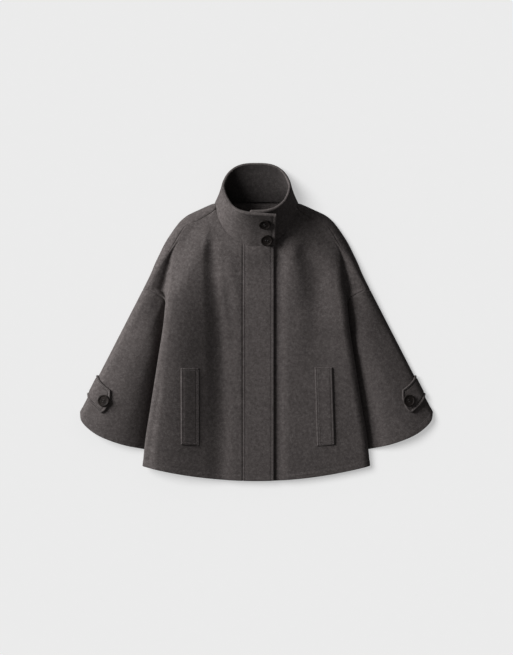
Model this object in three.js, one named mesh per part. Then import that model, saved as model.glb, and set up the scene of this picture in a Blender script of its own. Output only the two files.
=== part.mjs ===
// Wool cape coat laid flat on its back. The collar points to +Y, the front faces +Z and the
// wearer's right side is at -X. Every cut piece is a cloth wall: its outer surface is a grid of
// points worked out from the tables below, and its inner surface lies one cloth thickness inside.
import * as THREE from "three";

// Driving dimensions, in millimetres
const BODY_CLOTH = 2.5;
const PLACKET_CLOTH = 4.5; // folded fly strip, two layers and its turnings
const COLLAR_CLOTH = 6; // two layers of coating, rolled at the top edge
const WELT_CLOTH = 3;
const TAB_CLOTH = 4;
const SEAM_GAP = 0.45; // between two pieces that are sewn edge to edge
const LAY_GAP = 0.4; // between a piece and the panel that it lies on
const PLACKET_PROUD = 1; // height of the placket over the front beside its seam
const UNDER_PLACKET = 4.4; // how far the left front dips to pass under the placket
const UNDER_PLACKET_FADE = { from: 44, to: 78 }; // and the x over which it comes up again

const HEM_Y = -381;
const HEM_HALF_WIDTH = 272;
const HEM_RISE = 36; // the hem's side corners lie this much higher than its middle
const HEM_CURVE_TOP = -100; // rows above this stay straight
const BACK_HEM_INSET = 3; // the back's hem lies a little inside the front's
const UNDERARM_Y = -10;
const ARMHOLE_TOP_Y = 77; // where the armhole seam crosses the outer fold

const PLACKET_SEAM_X = -32.5;
const PLACKET_EDGE_X = 42;
const PLACKET_MIDDLE_X = 19; // columns of the placket and of the collar over it, at either side
const LEFT_FRONT_EDGE_X = -15; // hidden under the placket
const LEFT_FRONT_CORNER_X = 5; // its top corner is cut away under the collar's overlap
const NECK_CENTRE_Y = 283;
const NECK_HALF_WIDTH = 97;
const NECK_DEPTH = 103; // front neck curve, below the shoulder line
const NECK_SIDE_Z = 24;
const NECK_FRONT_RISE = 27;

const BUTTON_RADIUS = 14.2;
const BUTTON_HEIGHT = 4;
// Thread between a button and the cloth under it, at the button's middle
const COLLAR_BUTTON_SHANK = 1;
const TAB_BUTTON_SHANK = 0.4;

// Shape of the body, a row for each height: the fold that hangs over the sleeve lies at
// |x| = ridge, and base is the height of the front over the surface.
const BODY = [
  { y: -381, ridge: 272, base: 25 },
  { y: -300, ridge: 265, base: 29 },
  { y: -200, ridge: 251, base: 33.5 },
  { y: -100, ridge: 236, base: 37.5 },
  { y: -10, ridge: 222, base: 41 },
  { y: 55, ridge: 215, base: 43 },
  { y: 85, ridge: 209, base: 43.5 },
  { y: 120, ridge: 206, base: 44 },
  { y: 150, ridge: 203, base: 44.5 },
  { y: 180, ridge: 194, base: 45 },
  { y: 211, ridge: 178, base: 43 },
  { y: 230, ridge: 165, base: 40 },
  { y: 250, ridge: 140, base: 36 },
  { y: 268, ridge: 105, base: 30 },
];

// Shoulder: outer fold, and the forward shoulder seam inside it. The first row only steers the
// front's height below the armhole's top.
const SHOULDER = [
  { y: 30, fold: 296, foldZ: 12, seam: 283, seamZ: 25 },
  { y: 77, fold: 272, foldZ: 12, seam: 259, seamZ: 26 },
  { y: 95, fold: 263, foldZ: 11, seam: 250, seamZ: 27 },
  { y: 118, fold: 252, foldZ: 10, seam: 240, seamZ: 28 },
  { y: 140, fold: 243, foldZ: 10, seam: 228, seamZ: 28.5 },
  { y: 165, fold: 231, foldZ: 10, seam: 211.5, seamZ: 29 },
  { y: 189, fold: 219, foldZ: 10, seam: 196, seamZ: 29 },
  { y: 211, fold: 205, foldZ: 10, seam: 183, seamZ: 29 },
  { y: 230, fold: 191.5, foldZ: 10, seam: 168, seamZ: 29 },
  { y: 242, fold: 181, foldZ: 10, seam: 141, seamZ: 29 },
  { y: 256, fold: 163, foldZ: 10, seam: 115, seamZ: 29 },
  { y: 268, fold: 138, foldZ: 10, seam: 99.6, seamZ: 29.5 },
  { y: 276, fold: 121, foldZ: 10, seam: 97, seamZ: 28 },
];

// Armhole seam from the underarm up to the outer fold, on the front and on the back
const FRONT_ARMHOLE = [
  { y: -10, x: 214, z: 7 },
  { y: -2, x: 213, z: 9.5 },
  { y: 10, x: 213.5, z: 11.5 },
  { y: 30, x: 216, z: 14 },
  { y: 45, x: 218.5, z: 17 },
  { y: 55, x: 222, z: 20.5 },
  { y: 63, x: 233, z: 24 },
  { y: 70, x: 245, z: 27 },
  { y: 75, x: 255, z: 27 },
  { y: 77, x: 259, z: 26 },
];
const BACK_ARMHOLE = [
  { y: -10, x: 214, z: 7 },
  { y: -2, x: 212, z: 3.5 },
  { y: 10, x: 211, z: 1 },
  { y: 30, x: 213, z: 0 },
  { y: 45, x: 217, z: 0 },
  { y: 55, x: 223, z: 0 },
  { y: 63, x: 232, z: 0 },
  { y: 70, x: 244, z: 0 },
  { y: 75, x: 255, z: 0 },
  { y: 77, x: 261, z: 0 },
];

// Soft folds of the front, each along a crest line (or a trough, where rise is negative), with
// the distances over which it fades toward the middle and toward the side
const FOLDS = [
  [
    { y: -381, x: -240, rise: 22, toMiddle: 172, toSide: 50 },
    { y: -300, x: -234, rise: 27, toMiddle: 174, toSide: 52 },
    { y: -200, x: -224, rise: 33, toMiddle: 168, toSide: 54 },
    { y: -90, x: -214, rise: 35, toMiddle: 160, toSide: 52 },
    { y: 0, x: -204, rise: 33, toMiddle: 154, toSide: 50 },
    { y: 70, x: -194, rise: 27, toMiddle: 136, toSide: 50 },
    { y: 130, x: -180, rise: 17, toMiddle: 104, toSide: 48 },
    { y: 190, x: -160, rise: 8, toMiddle: 74, toSide: 44 },
    { y: 226, x: -148, rise: 3, toMiddle: 60, toSide: 40 },
    { y: 262, x: -136, rise: 0, toMiddle: 60, toSide: 40 },
  ],
  [
    { y: -381, x: -84, rise: -3, toMiddle: 30, toSide: 44 },
    { y: -200, x: -84, rise: -5, toMiddle: 30, toSide: 42 },
    { y: -100, x: -86, rise: -5, toMiddle: 28, toSide: 40 },
    { y: 0, x: -92, rise: -5, toMiddle: 26, toSide: 36 },
    { y: 60, x: -100, rise: -5, toMiddle: 24, toSide: 30 },
    { y: 120, x: -105, rise: -6, toMiddle: 20, toSide: 24 },
    { y: 180, x: -106, rise: -6, toMiddle: 18, toSide: 20 },
    { y: 215, x: -103, rise: -4, toMiddle: 16, toSide: 16 },
    { y: 244, x: -100, rise: 0, toMiddle: 16, toSide: 16 },
  ],
  [
    { y: -300, x: -40, rise: 0, toMiddle: 20, toSide: 24 },
    { y: -150, x: -42, rise: 1.2, toMiddle: 20, toSide: 24 },
    { y: 40, x: -46, rise: 1.6, toMiddle: 20, toSide: 26 },
    { y: 130, x: -60, rise: 2, toMiddle: 22, toSide: 26 },
    { y: 190, x: -66, rise: 0, toMiddle: 22, toSide: 22 },
  ],
  [
    { y: 20, x: 84, rise: 0, toMiddle: 30, toSide: 36 },
    { y: 100, x: 88, rise: 2.5, toMiddle: 30, toSide: 36 },
    { y: 180, x: 84, rise: 4, toMiddle: 30, toSide: 30 },
    { y: 246, x: 92, rise: 0, toMiddle: 30, toSide: 30 },
  ],
  [
    { y: -160, x: 150, rise: 0, toMiddle: 60, toSide: 70 },
    { y: -60, x: 150, rise: -3, toMiddle: 56, toSide: 70 },
    { y: 52, x: 147, rise: -6, toMiddle: 50, toSide: 60 },
    { y: 124, x: 135, rise: -8, toMiddle: 46, toSide: 56 },
    { y: 172, x: 122, rise: -8, toMiddle: 40, toSide: 50 },
    { y: 232, x: 118, rise: 0, toMiddle: 36, toSide: 40 },
  ],
  [
    { y: -381, x: 224, rise: -1, toMiddle: 160, toSide: 60 },
    { y: -250, x: 218, rise: -3, toMiddle: 155, toSide: 60 },
    { y: -100, x: 208, rise: -3, toMiddle: 150, toSide: 60 },
    { y: -40, x: 201, rise: -1, toMiddle: 145, toSide: 56 },
    { y: 0, x: 198, rise: 1, toMiddle: 140, toSide: 56 },
    { y: 60, x: 190, rise: -3, toMiddle: 130, toSide: 50 },
    { y: 150, x: 168, rise: -2, toMiddle: 90, toSide: 50 },
    { y: 200, x: 160, rise: 0, toMiddle: 90, toSide: 50 },
  ],
];

// Sleeve: across runs from the outer fold (0) to the inner fold (1) over the upper layer
const SLEEVE_TOP = [
  { across: 0, mid: 12, cuff: 10 },
  { across: 0.05, mid: 23, cuff: 21 },
  { across: 0.107, mid: 31, cuff: 29 },
  { across: 0.235, mid: 38, cuff: 37 },
  { across: 0.342, mid: 41, cuff: 40 },
  { across: 0.46, mid: 41, cuff: 40 },
  { across: 0.67, mid: 35, cuff: 35 },
  { across: 0.836, mid: 23, cuff: 24 },
  { across: 0.95, mid: 10.5, cuff: 12 },
  { across: 1, mid: 6.5, cuff: 7 },
];
// Cuff line at |x|, from the outer fold to the inner fold
const CUFF = [
  { across: 0, x: 423, y: -217 },
  { across: 0.1, x: 419, y: -236 },
  { across: 0.23, x: 402, y: -255 },
  { across: 0.41, x: 373, y: -274 },
  { across: 0.68, x: 323, y: -293 },
  { across: 0.94, x: 272, y: -304.5 },
  { across: 1, x: 262, y: -306 },
];
const SLEEVE_RINGS = [0, 0.06, 0.14, 0.24, 0.35, 0.46, 0.58, 0.7, 0.783, 0.862, 0.93, 1];
const SLEEVE_FILL_RINGS = 0.3; // share of the length over which the sleeve fills out

// Top edge of the collar round one turn and a bit, in degrees from the front middle: it starts
// at the hidden end under the overlap, runs past the wearer's left and the back, and ends in
// the overlap's edge.
const COLLAR_TOP = [
  { turn: -9, x: -16, y: 259, z: 100 },
  { turn: 11.4, x: 17, y: 260, z: 100 },
  { turn: 21, x: 31, y: 262.5, z: 99 },
  { turn: 32, x: 46, y: 267.4, z: 96 },
  { turn: 52, x: 66, y: 283, z: 88 },
  { turn: 68, x: 75, y: 297, z: 79 },
  { turn: 90, x: 81, y: 315, z: 67 },
  { turn: 104, x: 82, y: 328, z: 55 },
  { turn: 120, x: 78, y: 342, z: 40 },
  { turn: 134, x: 71, y: 356, z: 26 },
  { turn: 146, x: 59, y: 368, z: 14 },
  { turn: 158, x: 40, y: 377, z: 6 },
  { turn: 169, x: 20, y: 380.5, z: 2 },
  { turn: 180, x: 0, y: 381, z: 1 },
  { turn: 191, x: -20, y: 380.5, z: 2 },
  { turn: 202, x: -40, y: 377, z: 6 },
  { turn: 214, x: -59, y: 368, z: 14 },
  { turn: 226, x: -71, y: 356, z: 26 },
  { turn: 240, x: -78, y: 342, z: 40 },
  { turn: 256, x: -82, y: 328, z: 55 },
  { turn: 270, x: -81, y: 315, z: 67 },
  { turn: 290, x: -73, y: 294, z: 81 },
  { turn: 308, x: -60, y: 274, z: 93 },
  { turn: 326, x: -43, y: 261, z: 103 },
  { turn: 343, x: -22, y: 255, z: 108 },
  { turn: 360, x: 0, y: 252.5, z: 110 },
  { turn: 374, x: 25, y: 250.5, z: 110 },
  { turn: 388, x: 48, y: 249, z: 109 },
];
// Neck seam behind the shoulder line, for one side
const NECK_BACK = [
  { turn: 90, x: 97, y: 283, z: 24 },
  { turn: 97, x: 99, y: 284, z: 17 },
  { turn: 104, x: 100, y: 285, z: 9 },
  { turn: 112, x: 95, y: 286, z: 3 },
  { turn: 122, x: 86, y: 287, z: 0 },
  { turn: 132, x: 74, y: 287, z: 0 },
  { turn: 143, x: 60, y: 287, z: 0 },
  { turn: 153, x: 45, y: 287, z: 0 },
  { turn: 162, x: 30, y: 287, z: 0 },
  { turn: 171, x: 15, y: 287, z: 0 },
  { turn: 180, x: 0, y: 287, z: 0 },
];
const COLLAR_STEPS = [0, 0.12, 0.3, 0.5, 0.7, 0.87, 1];
const COLLAR_FRONT_BEND = { y: 16, z: -8 }; // the front flares from the chest and then stands
const COLLAR_SIDE_BEND = -4;
const UNDERLAP_DEPTH = -5.6; // the collar's hidden end lies under the overlap
const OVERLAP_LIFT = 2.2; // the free end of the overlap stands off what is under it
const OVERLAP_END_TURN = 388;
const UNDERLAP_END_TURN = -9;

// Pocket welts: the inner edge at the top and at the bottom, and the two ends' heights
const WELT_WIDTH = 43.5;
const WELTS = [
  { name: "pocket_welt_right", side: -1, topX: 137, lowX: 137, high: -110, low: -302 },
  { name: "pocket_welt_left", side: 1, topX: 138, lowX: 144, high: -108, low: -304 },
];

// Sleeve tab, a row across its width along the sleeve: reach is how far its tip goes inward
const TAB = [
  { along: 0.7, reach: 0.285 },
  { along: 0.722, reach: 0.308 },
  { along: 0.75, reach: 0.332 },
  { along: 0.783, reach: 0.342 },
  { along: 0.815, reach: 0.342 },
  { along: 0.84, reach: 0.33 },
  { along: 0.862, reach: 0.3 },
];
const TAB_SHORTEST_REACH = 0.28;
const TAB_TUCK = new THREE.Vector3(-1.5, -0.5, -6); // from the outer fold to the tab's hidden end
const TAB_BUTTON = { across: 0.262, along: 0.785 };
const COLLAR_BUTTONS = [
  { x: 19, y: 231 },
  { x: 24, y: 194 },
];

const WOOL = { color: 0x474342, roughness: 0.95, metalness: 0 };
const WOOL_DARK = { color: 0x403c3b, roughness: 0.95, metalness: 0 };
const HORN = { color: 0x171413, roughness: 0.35, metalness: 0 };

// Arithmetic helpers
const mix = (a, b, share) => a + (b - a) * share;
const clamp01 = (value) => Math.min(1, Math.max(0, value));
const point = (x, y, z) => new THREE.Vector3(x, y, z);

function ease(from, to, value) {
  const share = clamp01((value - from) / (to - from));
  return share * share * (3 - 2 * share);
}

// A column of a table as a smooth function of its key column
function smoothColumn(rows, key, column) {
  const keys = rows.map((row) => row[key]);
  const values = rows.map((row) => row[column]);
  const last = rows.length - 1;
  const slopes = values.map((_, i) => {
    const before = Math.max(0, i - 1);
    const after = Math.min(last, i + 1);
    return (values[after] - values[before]) / (keys[after] - keys[before]);
  });
  return (at) => {
    if (at <= keys[0]) return values[0];
    if (at >= keys[last]) return values[last];
    const i = keys.findIndex((k) => k > at) - 1;
    const span = keys[i + 1] - keys[i];
    const t = (at - keys[i]) / span;
    const curved = 2 * t * t * t - 3 * t * t;
    return (
      (curved + 1) * values[i] -
      curved * values[i + 1] +
      (t * t * t - 2 * t * t + t) * span * slopes[i] +
      (t * t * t - t * t) * span * slopes[i + 1]
    );
  };
}

// All columns of a table at one key
function tableAt(rows, key, columns) {
  const functions = columns.map((column) => smoothColumn(rows, key, column));
  return (at) => functions.map((f) => f(at));
}

const ridgeX = smoothColumn(BODY, "y", "ridge");
const baseZ = smoothColumn(BODY, "y", "base");
const shoulder = tableAt(SHOULDER, "y", ["fold", "foldZ", "seam", "seamZ"]);
const frontArmhole = tableAt(FRONT_ARMHOLE, "y", ["x", "z"]);
const backArmhole = tableAt(BACK_ARMHOLE, "y", ["x", "z"]);
const cuff = tableAt(CUFF, "across", ["x", "y"]);
const sleeveMidZ = smoothColumn(SLEEVE_TOP, "across", "mid");
const sleeveCuffZ = smoothColumn(SLEEVE_TOP, "across", "cuff");
const collarTop = tableAt(COLLAR_TOP, "turn", ["x", "y", "z"]);
const tabReach = smoothColumn(TAB, "along", "reach");
const folds = FOLDS.map((rows) => tableAt(rows, "y", ["x", "rise", "toMiddle", "toSide"]));

// Rows of the body panels, from the hem up. The neck starts where its curve meets the
// placket's seam.
const neckX = (y) =>
  NECK_HALF_WIDTH * Math.sqrt(Math.max(0, 1 - ((NECK_CENTRE_Y - y) / NECK_DEPTH) ** 2));
const neckY = (x) => NECK_CENTRE_Y - NECK_DEPTH * Math.sqrt(1 - (x / NECK_HALF_WIDTH) ** 2);
const NECK_START_Y = neckY(PLACKET_SEAM_X);
const SIDE_ROWS = [HEM_Y, -340, -290, -240, -190, -140, -95, -60, -32];
const ARMHOLE_ROWS = [UNDERARM_Y, -2, 10, 30, 45, 55, 63, 70, 75, ARMHOLE_TOP_Y];
const SHOULDER_ROWS = [95, 118, 140, 160, 174];
const NECK_FRONT_Y = NECK_CENTRE_Y - NECK_DEPTH;
const NECK_ROWS = [NECK_START_Y, 190, 196, 204, 214, 225, 237, 248, 258, 268];
const NECK_CORNER_Y = 276;
const FRONT_ROWS = [...SIDE_ROWS, ...ARMHOLE_ROWS, ...SHOULDER_ROWS, ...NECK_ROWS];

// Height of the front over the surface, before its side fold
function frontHeight(x, y) {
  let z = baseZ(y);
  for (const fold of folds) {
    const [crestX, rise, toMiddle, toSide] = fold(y);
    const off = x - crestX;
    const reach = Math.sign(off) === Math.sign(crestX) ? toSide : toMiddle;
    if (Math.abs(off) < reach) z += rise * Math.cos((Math.PI * off) / (2 * reach)) ** 2;
  }
  const [, , seamX, seamZ] = shoulder(y);
  const seamPull = 1 - ease(0, 90, seamX - Math.abs(x));
  z = mix(z, seamZ, seamPull * ease(40, 140, y));
  const turnX = x / NECK_HALF_WIDTH;
  const turnY = Math.max(0, NECK_CENTRE_Y - y) / NECK_DEPTH;
  const fromNeck = (Math.hypot(turnX, turnY) - 1) * NECK_HALF_WIDTH;
  return mix(neckZ(turnY / Math.hypot(turnX, turnY)), z, ease(0, 60, fromNeck));
}

// Height of the neck seam from the cosine of its turn
function neckZ(cosine) {
  return NECK_SIDE_Z + NECK_FRONT_RISE * Math.max(0, cosine) ** 0.8;
}

// The hem curves up to the sides
function withHemCurve(p) {
  const share = Math.max(0, (HEM_CURVE_TOP - p.y) / (HEM_CURVE_TOP - HEM_Y));
  p.y += HEM_RISE * share ** 1.5 * (p.x / HEM_HALF_WIDTH) ** 2;
  return p;
}

// Where the front meets the back (side seam), the sleeve (armhole) or the back again (shoulder)
function sideSeam(y) {
  const inset = mix(8, 20, ease(UNDERARM_Y, -70, y));
  return [ridgeX(y) - inset, mix(7, 6, ease(UNDERARM_Y, -70, y))];
}

function frontSeam(y) {
  if (y <= UNDERARM_Y) return sideSeam(y);
  if (y <= ARMHOLE_TOP_Y) return frontArmhole(y);
  const [, , seamX, seamZ] = shoulder(y);
  return [seamX, seamZ];
}

function backSeam(y) {
  return y <= UNDERARM_Y ? sideSeam(y) : backArmhole(y);
}

const FRONT_COLUMNS = 13;
const CREST_INSET = 16; // from the side fold in to its crest
const CREST_SHARE = 0.55; // a crest lies at least this share of the way to the seam
const RIDGE_TO_SEAM = 7; // above the armhole the side fold stays this far inside the seam
// Where the side fold has faded out, its points lie at these shares from the crest to the seam
const FADED_SHARES = [0.3, 0.5, 0.68, 0.84];

// One row of a front, from its inner edge out over the side fold to its seam
function frontRow(y, side, innerX) {
  const [seamX, seamZ] = frontSeam(y);
  const ridge = y > ARMHOLE_TOP_Y ? Math.min(ridgeX(y), seamX - RIDGE_TO_SEAM) : ridgeX(y);
  const innerReach = Math.max(0, side * innerX);
  const crestX = Math.max(ridge - CREST_INSET, mix(innerReach, seamX, CREST_SHARE));
  const row = [];
  for (let i = 0; i <= FRONT_COLUMNS; i++) {
    const x = mix(innerX, side * crestX, i / FRONT_COLUMNS);
    const { from, to } = UNDER_PLACKET_FADE;
    const dip = side > 0 ? UNDER_PLACKET * (1 - ease(from, to, x)) : 0;
    row.push(point(x, y, frontHeight(x, y) - dip));
  }
  const crestZ = row[FRONT_COLUMNS].z;
  // Beside the sleeve the fold rolls over and runs back under itself to the seam
  const low = [
    [ridge - 4, crestZ - 4.5],
    [ridge, crestZ - 13],
    [mix(ridge, seamX, 0.15), mix(crestZ - 13, seamZ, 0.4)],
    [mix(ridge, seamX, 0.5), mix(crestZ - 13, seamZ, 0.7)],
  ];
  // Over the shoulder a shallow valley parts it from the seam
  const valleyZ = mix(20, 28, ease(60, 180, y));
  const high = [
    [ridge - 4, Math.max(crestZ - 4.5, valleyZ + 5)],
    [ridge, Math.max(crestZ - 13, valleyZ + 3)],
    [mix(ridge, seamX, 0.25), valleyZ],
    [mix(ridge, seamX, 0.6), mix(valleyZ, seamZ, 0.6)],
  ];
  const rising = ease(35, 70, y);
  const fading = ease(100, 190, y);
  for (let i = 0; i < low.length; i++) {
    const rolledX = mix(low[i][0], high[i][0], rising);
    const rolledZ = mix(low[i][1], high[i][1], rising);
    const plainX = mix(crestX, seamX, FADED_SHARES[i]);
    const plainZ = mix(crestZ, seamZ, FADED_SHARES[i]);
    row.push(point(side * mix(rolledX, plainX, fading), y, mix(rolledZ, plainZ, fading)));
  }
  row.push(point(side * seamX, y, seamZ));
  return row;
}

function rightFrontGrid() {
  return FRONT_ROWS.map((y) => {
    const inner = y <= NECK_START_Y ? PLACKET_SEAM_X : -neckX(y);
    return frontRow(y, -1, inner).map(withHemCurve);
  });
}

function leftFrontGrid() {
  return FRONT_ROWS.map((y) => {
    const cutAway = (LEFT_FRONT_CORNER_X - LEFT_FRONT_EDGE_X) * ease(160, 174, y);
    const inner = y < NECK_START_Y ? LEFT_FRONT_EDGE_X + cutAway : neckX(y);
    return frontRow(y, 1, inner).map(withHemCurve);
  });
}

const BACK_FLOOR_SHARES = [0.75, 0.5, 0.25];

// One row of the back on the floor, for the +X side, from the seam to the middle
function backFloorHalf(y, edge) {
  const first = edge[0];
  const onFloor = first.z < 0.01;
  const near = onFloor ? 8 : 7;
  const half = [
    ...edge,
    point(first.x - near, y, onFloor ? 0 : first.z * 0.36),
    point(first.x - 17, y, 0),
  ];
  const start = half[half.length - 1].x;
  for (const share of BACK_FLOOR_SHARES) half.push(point(start * share, y, 0));
  half.push(point(0, y, 0));
  return half;
}

function mirrored(p) {
  return point(-p.x, p.y, p.z);
}

function mirroredGrid(grid) {
  return grid.map((row) => row.map(mirrored));
}

// Adds the back's +X half and its mirror image, from rows that run from the seam to the middle
function addBackHalves(surface, halfRows) {
  const rows = halfRows.map((half) => [...half].reverse());
  addGrid(surface, rows, true);
  return addGrid(surface, mirroredGrid(rows), false);
}

function shoulderWrap(y) {
  const [fold, foldZ, seamX, seamZ] = shoulder(y);
  const cornerX = y > NECK_ROWS[NECK_ROWS.length - 1] ? neckX(y) : seamX;
  const cornerZ = y > NECK_ROWS[NECK_ROWS.length - 1] ? neckZ((NECK_CENTRE_Y - y) / NECK_DEPTH) : seamZ;
  return [
    point(cornerX, y, cornerZ),
    point(mix(cornerX, fold, 0.62), y, mix(cornerZ, foldZ, 0.36)),
    point(fold, y, foldZ),
    point(fold - 3, y, 3.4),
  ];
}

function backLowerGrid() {
  const rows = [...SIDE_ROWS, ...ARMHOLE_ROWS];
  return rows.map((y) => {
    const [x, z] = backSeam(y);
    const row = backFloorHalf(y, [point(x, y, z)]).map(withHemCurve);
    if (y === HEM_Y) row.forEach((p) => (p.y += BACK_HEM_INSET));
    return row;
  });
}

function backUpperGrid() {
  const rows = [ARMHOLE_TOP_Y, ...SHOULDER_ROWS, ...NECK_ROWS, NECK_CORNER_Y].map((y) => {
    const floorEdge = point(shoulder(y)[0] - 11, y, 0);
    return [...shoulderWrap(y), ...backFloorHalf(y, [floorEdge])];
  });
  rows.push(NECK_BACK.map((p) => point(p.x, p.y, p.z)));
  return rows;
}

// Closed ring of the armhole seam, from the outer fold over the front, the underarm and the back
function armholeRing() {
  const wrap = shoulderWrap(ARMHOLE_TOP_Y);
  const rows = ARMHOLE_ROWS.slice(0, -1);
  const overFront = [...rows].reverse().map((y) => {
    const [x, z] = frontArmhole(y);
    return point(x, y, z);
  });
  const underBack = rows.slice(1).map((y) => {
    const [x, z] = backArmhole(y);
    return point(x, y, z);
  });
  const floorCorner = point(shoulder(ARMHOLE_TOP_Y)[0] - 11, ARMHOLE_TOP_Y, 0);
  return { upper: [wrap[2], wrap[1], wrap[0], ...overFront], lower: [...underBack, floorCorner, wrap[3]] };
}

// How far each point of a line lies along it, from 0 to 1, seen from above
function shares(points) {
  const lengths = [0];
  for (let i = 1; i < points.length; i++) {
    const step = Math.hypot(points[i].x - points[i - 1].x, points[i].y - points[i - 1].y);
    lengths.push(lengths[i - 1] + step);
  }
  return lengths.map((length) => length / lengths[lengths.length - 1]);
}

// Rings of the sleeve on the +X side, from the armhole to the cuff
function sleeveGrid() {
  const { upper, lower } = armholeRing();
  const upperShares = shares(upper);
  const lowerShares = shares([upper[upper.length - 1], ...lower, upper[0]]).slice(1, -1);
  return SLEEVE_RINGS.map((along) => {
    const fill = ease(0, SLEEVE_FILL_RINGS, along);
    const toCuff = ease(0.55, 1, along);
    const ring = upper.map((start, i) => {
      const [endX, endY] = cuff(upperShares[i]);
      const filled = mix(sleeveMidZ(upperShares[i]), sleeveCuffZ(upperShares[i]), toCuff);
      return point(mix(start.x, endX, along), mix(start.y, endY, along), mix(start.z, filled, fill));
    });
    lower.forEach((start, i) => {
      const [endX, endY] = cuff(1 - lowerShares[i]);
      ring.push(point(mix(start.x, endX, along), mix(start.y, endY, along), start.z * (1 - fill)));
    });
    // The fold beside the outer edge keeps its height all the way
    ring[ring.length - 1].z = lower[lower.length - 1].z;
    return [...ring, ring[0]];
  });
}

// Neck seam at a turn from the front middle, with the placket's straighter edge past 360
function neckPoint(turn) {
  const overlap = turn > 360;
  const around = ((turn % 360) + 360) % 360;
  const angle = around > 180 ? 360 - around : around;
  const side = around > 180 ? -1 : 1;
  if (angle <= 90) {
    const cosine = Math.cos(THREE.MathUtils.degToRad(angle));
    const x = side * NECK_HALF_WIDTH * Math.sin(THREE.MathUtils.degToRad(angle));
    const y = overlap ? placketTopY(x) : NECK_CENTRE_Y - NECK_DEPTH * cosine;
    return point(x, y, neckZ(cosine));
  }
  const row = NECK_BACK.find((r) => Math.abs(r.turn - angle) < 0.01);
  return point(side * row.x, row.y, row.z);
}

function placketTopY(x) {
  return x <= 0 ? neckY(x) : NECK_FRONT_Y + 2 * (x / PLACKET_EDGE_X) ** 2;
}

const turnOfRow = (y) => THREE.MathUtils.radToDeg(Math.acos((NECK_CENTRE_Y - y) / NECK_DEPTH));
const turnOfX = (x) => THREE.MathUtils.radToDeg(Math.asin(x / NECK_HALF_WIDTH));

// Turns at which the collar has a column: the ends of the rows of the pieces that it is sewn to
function collarTurns() {
  const rows = [...NECK_ROWS, NECK_CORNER_Y].map(turnOfRow);
  const backHalf = NECK_BACK.map((r) => r.turn);
  const middle = turnOfX(PLACKET_MIDDLE_X);
  const underPlacket = [UNDERLAP_END_TURN, 0, middle];
  const rightSide = [...backHalf.slice(0, -1), ...rows.slice().reverse()].map((t) => 360 - t);
  const overPlacket = [-middle, 0, middle, -turnOfX(PLACKET_SEAM_X), turnOfX(PLACKET_EDGE_X)];
  return [
    ...underPlacket,
    ...rows,
    ...backHalf,
    ...rightSide.sort((a, b) => a - b),
    ...overPlacket.map((t) => 360 + t),
    OVERLAP_END_TURN,
  ];
}

// Outer surface of the collar at a turn and a share of its height
function collarPoint(turn, rise) {
  const low = neckPoint(turn);
  const underlap = UNDERLAP_DEPTH * (1 - ease(27, 62, turn));
  const overlap = PLACKET_PROUD * ease(341, 350, turn) + OVERLAP_LIFT * ease(362, 378, turn);
  low.z += underlap + overlap;
  const top = point(...collarTop(turn));
  const middle = low.clone().lerp(top, 0.5);
  const facing = Math.cos(THREE.MathUtils.degToRad(turn));
  const front = Math.max(0, facing) ** 1.5;
  const sideways = 1 - Math.abs(facing);
  middle.add(
    point(
      Math.sign(middle.x) * COLLAR_SIDE_BEND * sideways,
      COLLAR_FRONT_BEND.y * front,
      COLLAR_FRONT_BEND.z * front,
    ),
  );
  const out = low.multiplyScalar((1 - rise) ** 2);
  out.addScaledVector(middle, 2 * rise * (1 - rise));
  out.addScaledVector(top, rise * rise);
  return out;
}

// Unit normal of the collar's outer surface
function collarNormal(turn, rise) {
  const step = 0.01;
  const around = collarPoint(turn + 1, rise).sub(collarPoint(turn - 1, rise));
  const up = collarPoint(turn, rise + step).sub(collarPoint(turn, rise - step));
  return around.cross(up).normalize();
}

// Surface meshes: points, triangles that face outward, and the number of points
function emptySurface() {
  return { points: [], triangles: [], index: new Map() };
}

const spotKey = (p) => [p.x, p.y, p.z].map((value) => Math.round(value * 100)).join();

function addPoint(surface, p) {
  const key = spotKey(p);
  if (!surface.index.has(key)) {
    surface.index.set(key, surface.points.length);
    surface.points.push(p.clone());
  }
  return surface.index.get(key);
}

// Adds a grid of points. With flipped false its faces look along (next column) x (next row).
function addGrid(surface, grid, flipped) {
  const ids = grid.map((row) => row.map((p) => addPoint(surface, p)));
  for (let r = 0; r + 1 < ids.length; r++) {
    for (let c = 0; c + 1 < ids[r].length; c++) {
      const [a, b] = [ids[r][c], ids[r][c + 1]];
      const [d, e] = [ids[r + 1][c], ids[r + 1][c + 1]];
      for (const triangle of [
        [a, b, e],
        [a, e, d],
      ]) {
        if (new Set(triangle).size < 3) continue;
        surface.triangles.push(flipped ? [triangle[0], triangle[2], triangle[1]] : triangle);
      }
    }
  }
  return surface;
}

function faceNormal(surface, [a, b, c]) {
  const { points } = surface;
  const first = points[b].clone().sub(points[a]);
  const second = points[c].clone().sub(points[a]);
  return first.cross(second);
}

// Area-weighted normals, shared between the pieces that meet at a seam
function sharedNormals(surfaces) {
  const sums = new Map();
  for (const surface of surfaces) {
    for (const triangle of surface.triangles) {
      const normal = faceNormal(surface, triangle);
      for (const id of triangle) {
        const key = spotKey(surface.points[id]);
        if (!sums.has(key)) sums.set(key, point(0, 0, 0));
        sums.get(key).add(normal);
      }
    }
  }
  return (p) => sums.get(spotKey(p)).clone().normalize();
}

// Edges that only one triangle uses, each as a pair of point numbers
function openEdges(triangles) {
  const edges = new Map();
  for (const [a, b, c] of triangles) {
    for (const [from, to] of [
      [a, b],
      [b, c],
      [c, a],
    ]) {
      edges.set(from + "," + to, [from, to]);
    }
  }
  return [...edges.values()].filter(([from, to]) => !edges.has(to + "," + from));
}

const SMALLEST_PULL = 0.3; // a point whose two edges pull it less than this stays put

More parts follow.
